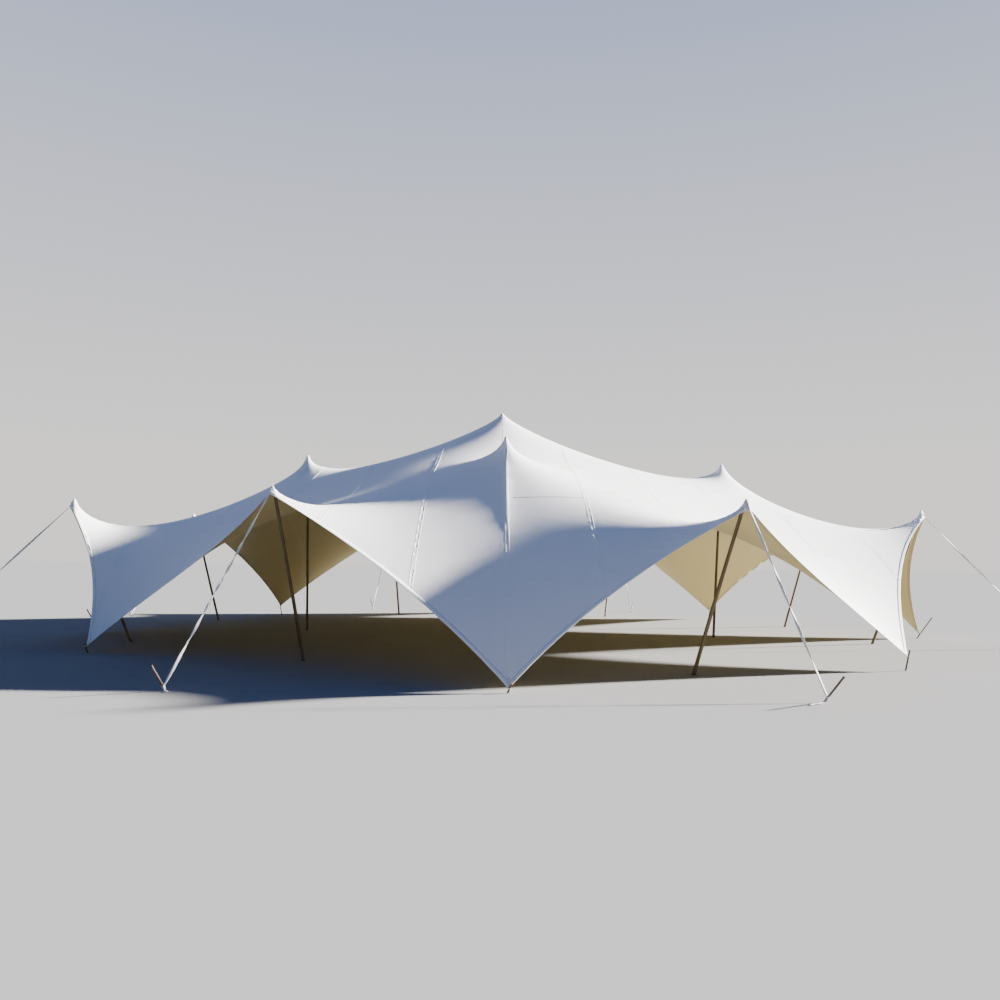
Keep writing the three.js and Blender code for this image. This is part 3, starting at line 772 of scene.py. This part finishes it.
def runs_over_cloth(start, end):
    """Stretches of a straight line, seen from above, that lie on the cloth."""
    count = int(np.linalg.norm(end - start) / SEAM_STEP)
    line = start + (end - start) * np.linspace(0.0, 1.0, count + 1)[:, None]
    aside = unit(np.array([start[1] - end[1], end[0] - start[0]])) * SEAM_EDGE
    runs, run = [], []
    for k, point in enumerate(line):
        if carries_seam(point, aside):
            if not run and k:
                run = [edge_between(point, line[k - 1], aside)]
            run.append(point)
        else:
            if len(run) >= SHORTEST_RUN:
                runs.append(run + [edge_between(run[-1], point, aside)])
            run = []
    if len(run) >= SHORTEST_RUN:
        runs.append(run)
    return runs


def seam_strip(name, run, side, material, scale=1.0):
    """A lapped seam along a line of the cloth, with two ridges that pucker here and there."""
    found = [cloth_at(*point) for point in run]
    path = np.array([place for place, _ in found])
    ups = unit(smoothed(np.array([normal for _, normal in found])))
    sideways = unit(np.cross(directions_of(path), ups))
    seed = path[0][0]
    sections, lay = [], []
    for place, up, aside, length in zip(path, ups, sideways, lengths_along(path)):
        slack = max(0.0, SLACK_MEAN + SLACK_SWING * noise_at(SLACK_PITCH * length, 5.0, 1.7 * seed))
        section, section_lay = [], []
        for across, share in SEAM_OUTLINE:
            edge = -1 if across < 0 else 1
            swing = PUCKER_SWING * noise_at(PUCKER_PITCH * length, 3.0 * edge, 2.0 * seed)
            pucker = max(LEAST_PUCKER, slack * (PUCKER_MEAN + swing))
            wander = WANDER * noise_at(WANDER_PITCH * length, 7.0 * edge, seed)
            flat = place + aside * (across + wander) * scale
            on_cloth = cloth_at(flat[0], flat[1])
            base = flat if on_cloth is None else on_cloth[0]
            height = CLOTH_THICKNESS / 2 + SEAM_LIFT + SEAM_RELIEF * scale * share * pucker
            section.append(base + up * height * side)
            section_lay.append((across, length, 0.0))
        sections.append(section)
        lay.append(section_lay)
    sections, lay = np.array(sections), np.array(lay)
    if side < 0:
        sections, lay = sections[:, ::-1], lay[:, ::-1]
    points, faces = swept(sections)
    return make_piece(name, points, faces, [material], lay.reshape(-1, 3))


SEAMS_EACH_SIDE = 6
PAST_THE_CLOTH = 12.0
CROSS_SEAM = (np.array([0.14, -6.53]), np.array([1.35, -6.49]))
CROSS_SEAM_SCALE = 0.34


def make_seams():
    lines = []
    one_side = [MIDDLE_STRIP_WIDTH + k * STRIP_WIDTH for k in range(SEAMS_EACH_SIDE)]
    for x in [*(-x for x in reversed(one_side)), CREASE_X, *one_side]:
        lines += runs_over_cloth(np.array([x, -PAST_THE_CLOTH]), np.array([x, PAST_THE_CLOTH]))
    pieces = []
    for k, run in enumerate(lines):
        pieces.append(seam_strip(f"seam_top_{k:02d}", run, 1, SEAM_OUTSIDE))
        pieces.append(seam_strip(f"seam_under_{k:02d}", run, -1, SEAM_INSIDE))
    # The cross seam's upper strip carries the painted shade of its groove
    for run in runs_over_cloth(*CROSS_SEAM):
        pieces.append(seam_strip("cross_seam_top", run, 1, CROSS_SEAM_PAINTED_SHADE_OUTSIDE, CROSS_SEAM_SCALE))
        pieces.append(seam_strip("cross_seam_under", run, -1, SEAM_INSIDE, CROSS_SEAM_SCALE))
    return pieces


# The hem's doubled cloth: heights of its inner face and its skin, and how far it rolls over the edge
HEM_INNER, HEM_SKIN, HEM_ROLL = 0.0017, 0.0034, 0.0022
# Half of the hem's outline, from its sewn side to the edge: shares of its width, and heights
HEM_HALF = [
    (1.0, HEM_INNER),
    (1.0, HEM_SKIN),
    (0.55, 0.8 * HEM_SKIN),
    (0.12, 1.15 * HEM_SKIN),
    (0.0, 0.9 * HEM_SKIN),
]
HEM_TUCK = 0.02
HEM_PUCKER, HEM_PUCKER_PITCH = 0.25, 11.0
# Sine of the sharpest angle between the edge and a spoke that the hem's width is corrected for
SHARPEST_SINE = 0.35


def inward_frames():
    """At every edge point: the direction across the hem into the cloth, scaled to one unit of hem width."""
    edge = net[-1]
    spokes_in = unit(net[-4] - edge)
    forward = unit(np.roll(edge, -1, axis=0) - edge)
    sine = np.linalg.norm(np.cross(forward, spokes_in), axis=1)
    return spokes_in / np.maximum(sine, SHARPEST_SINE)[:, None]


def point_inward(spoke, distance):
    """A point of the net's spoke at a distance in from the edge, measured along the cloth, and its normal."""
    path = net[::-1, spoke]
    along = lengths_along(path)
    k = int(np.searchsorted(along, distance, side="right")) - 1
    t = (distance - along[k]) / (along[k + 1] - along[k])
    place = path[k] * (1 - t) + path[k + 1] * t
    normal = normals[::-1, spoke][k] * (1 - t) + normals[::-1, spoke][k + 1] * t
    return place, unit(normal)


def hem_section(spoke, inward, length):
    """The hem's outline at one point of the edge: over the cloth, round the edge, and back under it."""
    scale = np.linalg.norm(inward)
    pucker = 1.0 + HEM_PUCKER * noise_at(HEM_PUCKER_PITCH * length)

    def raised(share, height):
        place, up = point_inward(spoke, share * HEM_WIDTH * scale)
        return place + up * height

    upper = [raised(share, height * pucker) for share, height in HEM_HALF]
    fold = net[-1, spoke] - unit(inward) * HEM_ROLL * scale
    lower = [raised(share, -height * pucker) for share, height in reversed(HEM_HALF)]
    return [*upper, fold, *lower, raised(HEM_TUCK, -HEM_INNER), raised(HEM_TUCK, HEM_INNER)]


def make_hem():
    """The folded hem: a doubled band round the whole edge, on both sides of the cloth."""
    half = [share for share, _ in HEM_HALF]
    shares = [*half, 0.0, *reversed(half), HEM_TUCK, HEM_TUCK]
    sections, lay = [], []
    for spoke, (inward, length) in enumerate(zip(inward_frames(), lengths_along(net[-1]))):
        sections.append(hem_section(spoke, inward, length))
        lay += [(share * HEM_WIDTH, length, 0.0) for share in shares]
    points, faces = swept(np.array(sections), closed=True)
    hem = make_piece("hem", points, faces, [HEM_OUTSIDE, HEM_INSIDE], lay)
    size = len(shares)
    under = [1 if len(half) <= f % size < size - 2 else 0 for f in range(len(faces))]
    hem.data.polygons.foreach_set("material_index", under)
    return hem


# Poles

POLE_TAPER = 0.07
POLE_SIDES, POLE_STEP = 28, 0.09
POLE_BOW = 0.006
POLE_WOBBLE = 0.03
KNOTS = 5
KNOT_SWELL, KNOT_LENGTH = 0.10, 0.035
DOME_ANGLES = np.radians([18, 36, 52, 66, 78, 86])
HEAD_CLEARANCE = CLOTH_THICKNESS / 2 + 0.0005
SEATING_ROUNDS, SEATING_TURNS = 4, 16


def lean_frame(axis):
    sideways = unit(np.cross(np.array([0.0, 1.0, 0.0]), axis))
    return sideways, np.cross(axis, sideways)


def outs_round(axis, count):
    """Angles round a leaning bar, each with its direction square to the bar."""
    sideways, across = lean_frame(axis)
    angles = [k * math.tau / count for k in range(count)]
    return [(angle, sideways * math.cos(angle) + across * math.sin(angle)) for angle in angles]


def seated_length(foot, axis, length, radius):
    """The length at which a pole's domed head comes up against the cloth's underside."""
    outs = outs_round(axis, SEATING_TURNS)
    for _ in range(SEATING_ROUNDS):
        room = []
        for rise in (0.0, *DOME_ANGLES):
            height = length - radius + radius * math.sin(rise)
            for _, out in outs:
                point = foot + axis * height + out * radius * math.cos(rise)
                found = cloth_at(point[0], point[1])
                if found is not None:
                    room.append(found[0][2] - point[2])
        length += (min(room) - HEAD_CLEARANCE) / axis[2]
    return length


def knots_of(length, seed):
    """Height and turn of each knot of a pole."""
    knots = []
    for k in range(KNOTS):
        share = 0.12 + 0.8 * noise_at(seed, k, 0.5) ** 2 + 0.11 * k
        knots.append((length * share, 2.4 * k + seed))
    return knots


def make_pole(node, foot, head, radius, seed):
    """A round timber pole: slightly tapered and bowed, with knots, a sawn foot and a rounded head."""
    foot = np.array([foot[0], foot[1], 0.0])
    axis = unit(np.array(head) - foot)
    top_radius = radius * (1.0 - POLE_TAPER)
    length = seated_length(foot, axis, np.linalg.norm(np.array(head) - foot) - top_radius, top_radius)
    sideways, _ = lean_frame(axis)
    shaft = np.linspace(0.0, length - top_radius, int(length / POLE_STEP))
    dome = [length - top_radius + top_radius * math.sin(angle) for angle in DOME_ANGLES]
    knots = knots_of(length, seed)
    outs = outs_round(axis, POLE_SIDES)
    sections, lay = [], []
    for height in [*shaft, *dome]:
        along = height / length
        full = radius * (1.0 + POLE_TAPER - 2 * POLE_TAPER * along)
        rounding = 1.0
        if height > length - top_radius:
            full = top_radius
            rounding = math.sqrt(max(0.0, 1 - ((height - length + top_radius) / top_radius) ** 2))
        bow = POLE_BOW * math.sin(math.pi * along) * math.sin(seed)
        ring, ring_lay = [], []
        for angle, out in outs:
            wobble = noise_at(math.cos(angle) * 0.8, math.sin(angle) * 0.8 + seed, height * 1.6)
            swell = 0.0
            for at, turn in knots:
                near = math.exp(-(((height - at) / KNOT_LENGTH) ** 2))
                swell += KNOT_SWELL * near * max(0.0, math.cos(angle - turn)) ** 6
            reach = full * rounding * min(1.0, 0.975 + POLE_WOBBLE * wobble + swell)
            point = foot + axis * height + out * reach + sideways * bow
            if height == 0.0:
                point = point - axis * point[2] / axis[2]
            ring.append(point)
            ring_lay.append((math.cos(angle) * radius + seed, math.sin(angle) * radius, height))
        sections.append(ring)
        lay.append(ring_lay)
    points, faces = swept(np.array(sections))
    pole = make_piece(node + "_timber", points, faces, [TIMBER], np.array(lay).reshape(-1, 3))
    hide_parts(node)
    return pole


def make_poles():
    """The king pole, the inner poles and the side poles, each worn in its own way."""
    poles = [make_pole("king_pole", (0.0, 0.0), KING_TOP, KING_POLE_RADIUS, 0.7)]
    for k, (name, pole) in enumerate(INNER_POLES.items()):
        poles.append(make_pole("inner_pole_" + name, pole["foot"], pole["head"], POLE_RADIUS, 3.1 + 1.7 * k))
    for k, (name, pole) in enumerate(SIDE_POLES.items()):
        poles.append(make_pole("side_pole_" + name, pole["foot"], pole["head"], POLE_RADIUS, 11.3 + 2.3 * k))
    return poles


# Stakes

STAKE_RADIUS = 0.0135
STAKE_SIDES = 24
STAKE_RISE = 0.002
# Shares of a stake's length and radius, up to its hammered head
STAKE_PROFILE = [
    (0.0, 1.0), (0.3, 1.0), (0.62, 1.0), (0.9, 0.99), (0.952, 1.02), (0.975, 1.14), (0.99, 1.2), (1.0, 1.02),
]
STAKE_RAGGEDNESS = 1.6


def stake_line(node):
    """Foot and head of a stake, as its solid stands."""
    points = np.array([v.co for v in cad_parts[node].data.vertices])
    foot = points[points[:, 2] < 0.001].mean(axis=0)
    head = points[points[:, 2] > points[:, 2].max() - 0.02].mean(axis=0)
    return foot, head


def make_stake(node, seed):
    """A steel bar driven in at a lean, its head hammered over. Returns its foot and axis."""
    foot, head = stake_line(node)
    axis = unit(head - foot)
    length = np.linalg.norm(head - foot) + STAKE_RISE
    outs = outs_round(axis, STAKE_SIDES)
    sections = []
    for share, swell in STAKE_PROFILE:
        ring = []
        for angle, out in outs:
            dents = noise_at(math.cos(angle) * 2, math.sin(angle) * 2, seed)
            ragged = 1.0 + (swell - 1.0) * STAKE_RAGGEDNESS * dents
            point = foot + axis * length * share + out * STAKE_RADIUS * swell * ragged
            if share == 0.0:
                point = point - axis * point[2] / axis[2]
            ring.append(point)
        sections.append(ring)
    points, faces = swept(np.array(sections))
    stake = make_piece(node + "_bar", points, faces, [STEEL])
    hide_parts(node)
    return foot, axis


# Guys

UPWARDS = np.array([0.0, 0.0, 1.0])
LEVEL = np.array([1.0, 1.0, 0.0])
WEB_HALF_WIDTH, WEB_THICKNESS = 0.018, 0.0026
GUY_ROWS = 90
GUY_START, GUY_END = 0.012, STAKE_RADIUS + 0.004
# The two straps of a guy stand this far either side of its middle line, and further apart half-way down
STRAP_SPREAD, STRAP_BELLY = 0.0024, 0.002
KNOT_HEIGHT = 0.085
# Each wrap of a knot: how far it is above the knot's middle, and its tilt
WRAPS = ((-0.02, 0.16), (0.0, -0.12), (0.019, 0.1))
WRAP_HALF_WIDTH, WRAP_THICKNESS = 0.011, 0.004
LOOP_STEPS = 28
# Half turns that each guy is twisted by on its way down
HALF_TURNS = dict(zip(SIDE_POLES, (3, 2, 3, 1, 2, 3, 2, 7)))
# Direction in degrees, from straight out, and length of the tail left over at each knot
TAIL_TURNS = dict(zip(SIDE_POLES, (-65, 50, -40, 35, -50, 45, -35, 60)))
TAIL_LENGTHS = dict(zip(SIDE_POLES, (0.42, 0.2, 0.25, 0.2, 0.24, 0.2, 0.24, 0.16)))
TAIL_STEPS = 24
TAIL_START, TAIL_HALF_WIDTH = STAKE_RADIUS + 0.006, WEB_HALF_WIDTH * 0.85
# How steeply a tail falls at first, how much steeper at each step, and at most
TAIL_FALL, TAIL_DROOP, STEEPEST_FALL = 0.9, 0.12, 1.35
TAIL_CURL, TAIL_CURL_PITCH = 0.10, 0.55
TAIL_GROUND, TAIL_LOW, TAIL_WAVE, TAIL_WAVE_PITCH = 0.02, 0.004, 0.006, 0.8


def web_outline(half_width, thickness):
    """Flat webbing with rounded selvedges."""
    t = thickness / 2
    w = half_width
    return [(-w, 0.0), (-w + t, -t), (w - t, -t), (w, 0.0), (w - t, t), (-w + t, t)]


def make_strap(name, path, normals, half_width, material):
    outline = web_outline(half_width, WEB_THICKNESS)
    path = np.array(path)
    points, faces = swept(sections_along(path, np.array(normals), outline))
    make_piece(name, points, faces, [material], lay_of(path, outline))


def make_loop(name, centre, axis, radius, outwards, outline, material):
    """A closed webbing loop round a bar."""
    across = unit(np.cross(axis, outwards))
    outwards = np.cross(across, axis)
    sections, lay = [], []
    for k in range(LOOP_STEPS):
        angle = k * math.tau / LOOP_STEPS
        out = outwards * math.cos(angle) + across * math.sin(angle)
        sections.append([centre + out * (radius + up) + axis * along for along, up in outline])
        lay += [(along, angle * radius, up) for along, up in outline]
    points, faces = swept(np.array(sections), closed=True)
    make_piece(name, points, faces, [material], lay)


def rotated(vector, axis, angle):
    """A vector turned about an axis that it stands square to."""
    return vector * math.cos(angle) + np.cross(axis, vector) * math.sin(angle)


def make_tail(name, knot, outwards):
    """The loose end of a guy: it hangs from the knot and runs out over the ground with a curl."""
    turn, length = TAIL_TURNS[name], TAIL_LENGTHS[name]
    heading = rotated(outwards, UPWARDS, math.radians(turn))
    place = knot + heading * TAIL_START
    path = [place]
    fall = TAIL_FALL
    for k in range(TAIL_STEPS):
        on_the_ground = place[2] < TAIL_GROUND
        fall = 0.0 if on_the_ground else min(STEEPEST_FALL, fall + TAIL_DROOP)
        heading = rotated(heading, UPWARDS, TAIL_CURL * math.sin(TAIL_CURL_PITCH * k + turn))
        step = heading * math.cos(fall) - UPWARDS * math.sin(fall)
        place = place + step * length / TAIL_STEPS
        place[2] = max(place[2], TAIL_LOW + TAIL_WAVE * abs(math.sin(TAIL_WAVE_PITCH * k)))
        path.append(place)
    path = smoothed(np.array(path), 3)
    side = unit(np.cross(directions_of(path), UPWARDS))
    make_strap(f"guy_{name}_tail", path, np.cross(side, directions_of(path)), TAIL_HALF_WIDTH, WEBBING)


def make_guy(name, spoke):
    """A doubled, twisted webbing guy, from the lip down to the knot on its stake."""
    lip = net[-1, spoke]
    foot, axis = make_stake("guy_stake_" + name, 3.0 + spoke)
    knot = foot + axis * KNOT_HEIGHT
    along = unit(knot - lip)
    across = unit(np.cross(UPWARDS, along))
    flat = np.cross(across, along)
    start = lip + along * GUY_START
    end = knot - along * GUY_END
    share = np.linspace(0.0, 1.0, GUY_ROWS)
    turned = math.pi * HALF_TURNS[name] * (3 * share**2 - 2 * share**3)
    faced = np.array([rotated(flat, along, angle) for angle in turned])
    narrowed = 1.0 - 0.45 * np.exp(-share / 0.01) - 0.35 * np.exp(-(1 - share) / 0.012)
    spread = STRAP_SPREAD + STRAP_BELLY * np.sin(share * math.pi)
    outline = web_outline(WEB_HALF_WIDTH, WEB_THICKNESS)
    for side, word in ((-1, "lower"), (1, "upper")):
        path = start + (end - start) * share[:, None] + faced * side * spread[:, None]
        sections = sections_along(path, faced, outline, np.tile(along, (GUY_ROWS, 1)))
        sections = path[:, None, :] + (sections - path[:, None, :]) * narrowed[:, None, None]
        points, faces = swept(sections)
        strap = make_piece(f"guy_{name}_{word}", points, faces, [WEBBING], lay_of(path, outline))
    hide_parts("guy_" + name)
    outwards = unit(-along * LEVEL)
    wrap = web_outline(WRAP_HALF_WIDTH, WRAP_THICKNESS)
    for k, (rise, tilt) in enumerate(WRAPS):
        radius = STAKE_RADIUS + 0.0024 + 0.0012 * k
        leaned = unit(axis + tilt * across)
        make_loop(f"guy_{name}_wrap_{k}", knot + axis * rise, leaned, radius, outwards, wrap, WEBBING)
    make_tail(name, knot, -outwards)


# Webbing patches at the lips and the low corners, and the ties of the corners

PATCH_START, PATCH_ROWS = 0.004, 12
PATCH_LIFT = 0.0038
LIP_REACH, LIP_HALF_WIDTH = 0.11, 0.016
CORNER_REACH, CORNER_HALF_WIDTH = 0.15, 0.016
CORNER_REACH_UNDER, CORNER_HALF_WIDTH_UNDER = 0.24, 0.02
TIE_RADIUS = STAKE_RADIUS + 0.0022
TIE_HALF_WIDTH, TIE_THICKNESS = 0.013, 0.0036
SAND_TOPPED = ("right", "left")


def make_patch(name, spoke, side, reach, half_width, material):
    """A strip of webbing sewn onto the cloth, running in from the edge."""
    path, ups = [], []
    for distance in np.linspace(PATCH_START, reach, PATCH_ROWS):
        place, up = point_inward(spoke, distance)
        path.append(place + side * up * (PATCH_LIFT + WEB_THICKNESS / 2))
        ups.append(side * up)
    make_strap(name, path, ups, half_width, material)


def make_corner(name, spoke):
    """The webbing patches of a low corner, and the loop that ties it to its stake."""
    foot, axis = make_stake("corner_stake_" + name, 40.0 + spoke)
    corner = net[-1, spoke]
    at = foot + axis * ((corner[2] - foot[2]) / axis[2])
    tie = web_outline(TIE_HALF_WIDTH, TIE_THICKNESS)
    make_loop(f"corner_{name}_loop", at, axis, TIE_RADIUS, unit(at - corner), tie, CORNER_WEBBING)
    upper = CORNER_WEBBING if name in SAND_TOPPED else WEBBING
    make_patch(f"corner_{name}_upper", spoke, 1, CORNER_REACH, CORNER_HALF_WIDTH, upper)
    make_patch(f"corner_{name}_under", spoke, -1, CORNER_REACH_UNDER, CORNER_HALF_WIDTH_UNDER, CORNER_WEBBING)


def make_lip(name, spoke):
    """The webbing sewn over and under the lip, which the guy pulls on."""
    make_patch(f"lip_{name}_upper", spoke, 1, LIP_REACH, LIP_HALF_WIDTH, WEBBING)
    make_patch(f"lip_{name}_under", spoke, -1, LIP_REACH, LIP_HALF_WIDTH, CORNER_WEBBING)


seams = make_seams()
hem = make_hem()
poles = make_poles()
for k, name in enumerate(SIDE_POLES):
    spoke = (2 * k + 1) * SPOKES_PER_SPAN
    make_guy(name, spoke)
    make_lip(name, spoke)
for k, name in enumerate(LOW_CORNERS):
    make_corner(name, 2 * k * SPOKES_PER_SPAN)


# Floor, light and camera

FLOOR_COLOUR = (0.25, 0.25, 0.247)
FLOOR_HALF = 900.0
BACKDROP = (1.14, 1.11, 1.08)
OVERHEAD = (0.10, 0.25, 0.68)
HORIZON = (0.36, 0.45, 0.60)
BEHIND_CAMERA = (0.01, 0.07, 0.29)
# Parts of a direction between which one colour of the dome passes into the next
BACKDROP_TO_OVERHEAD = (0.12, 0.85)
HORIZON_TO_BEHIND_CAMERA = (0.16, 0.42)
ALL_ROUND_TO_BACKDROP = (0.05, 0.6)
KEY_FROM = (0.899, 0.311, 0.308)
KEY_COLOUR, KEY_STRENGTH, KEY_ANGLE = (1.0, 0.95, 0.90), 42.0, 3.0


def make_floor():
    near, far = -FLOOR_HALF, FLOOR_HALF
    mesh = bpy.data.meshes.new("floor")
    mesh.from_pydata([(near, near, 0), (far, near, 0), (far, far, 0), (near, far, 0)], [], [(0, 1, 2, 3)])
    floor = bpy.data.objects.new("floor", mesh)
    bpy.context.scene.collection.objects.link(floor)
    material, _, shader = new_material("floor_pale")
    shader.inputs["Base Color"].default_value = (*FLOOR_COLOUR, 1.0)
    shader.inputs["Roughness"].default_value = 1.0
    shader.inputs["Specular IOR Level"].default_value = 0.0
    mesh.materials.append(material)


def make_light():
    """A low, warm sun lamp with hard shadows, and a dome whose colours light the shade.

    The dome is pale ahead, blue overhead and dark blue behind the camera, with a paler ring at the horizon.
    """
    world = bpy.data.worlds.new("studio")
    bpy.context.scene.world = world
    world.use_nodes = True
    tree = world.node_tree
    _, y, z = axes_of(tree, add_node(tree, "TexCoord").outputs["Generated"])
    backdrop = mixed(tree, ranged(tree, z, *BACKDROP_TO_OVERHEAD, 0.0, 1.0), BACKDROP, OVERHEAD)
    all_round = mixed(tree, ranged(tree, z, *HORIZON_TO_BEHIND_CAMERA, 0.0, 1.0), HORIZON, BEHIND_CAMERA)
    dome = mixed(tree, ranged(tree, y, *ALL_ROUND_TO_BACKDROP, 1.0, 0.0), backdrop, all_round)
    background = tree.nodes["Background"]
    tree.links.new(dome, background.inputs["Color"])
    background.inputs["Strength"].default_value = 1.0
    key = bpy.data.lights.new("key", "SUN")
    key.energy = KEY_STRENGTH
    key.angle = math.radians(KEY_ANGLE)
    key.color = KEY_COLOUR
    lamp = bpy.data.objects.new("key", key)
    bpy.context.scene.collection.objects.link(lamp)
    lamp.rotation_euler = Vector(KEY_FROM).to_track_quat("Z", "Y").to_euler()


CAMERA_AT = (-0.18, -21.1, 1.65)
CAMERA_PITCH = math.radians(4.24)
CAMERA_ROLL = math.radians(-0.7)
LENS, SENSOR_WIDTH = 31.32, 36.0
SHIFT = (0.006, 0.0005)
FARTHEST = 1000.0


def make_camera():
    right = Vector((1.0, 0.0, 0.0))
    up = Vector((0.0, -math.sin(CAMERA_PITCH), math.cos(CAMERA_PITCH)))
    rolled_right = right * math.cos(CAMERA_ROLL) - up * math.sin(CAMERA_ROLL)
    rolled_up = right * math.sin(CAMERA_ROLL) + up * math.cos(CAMERA_ROLL)
    back = rolled_right.cross(rolled_up)
    data = bpy.data.cameras.new("camera")
    data.lens = LENS
    data.sensor_width = SENSOR_WIDTH
    data.shift_x, data.shift_y = SHIFT
    data.clip_end = FARTHEST
    camera = bpy.data.objects.new("camera", data)
    bpy.context.scene.collection.objects.link(camera)
    turn = Matrix((rolled_right, rolled_up, back)).transposed().to_4x4()
    camera.matrix_world = Matrix.Translation(CAMERA_AT) @ turn
    bpy.context.scene.camera = camera


make_floor()
make_light()
make_camera()
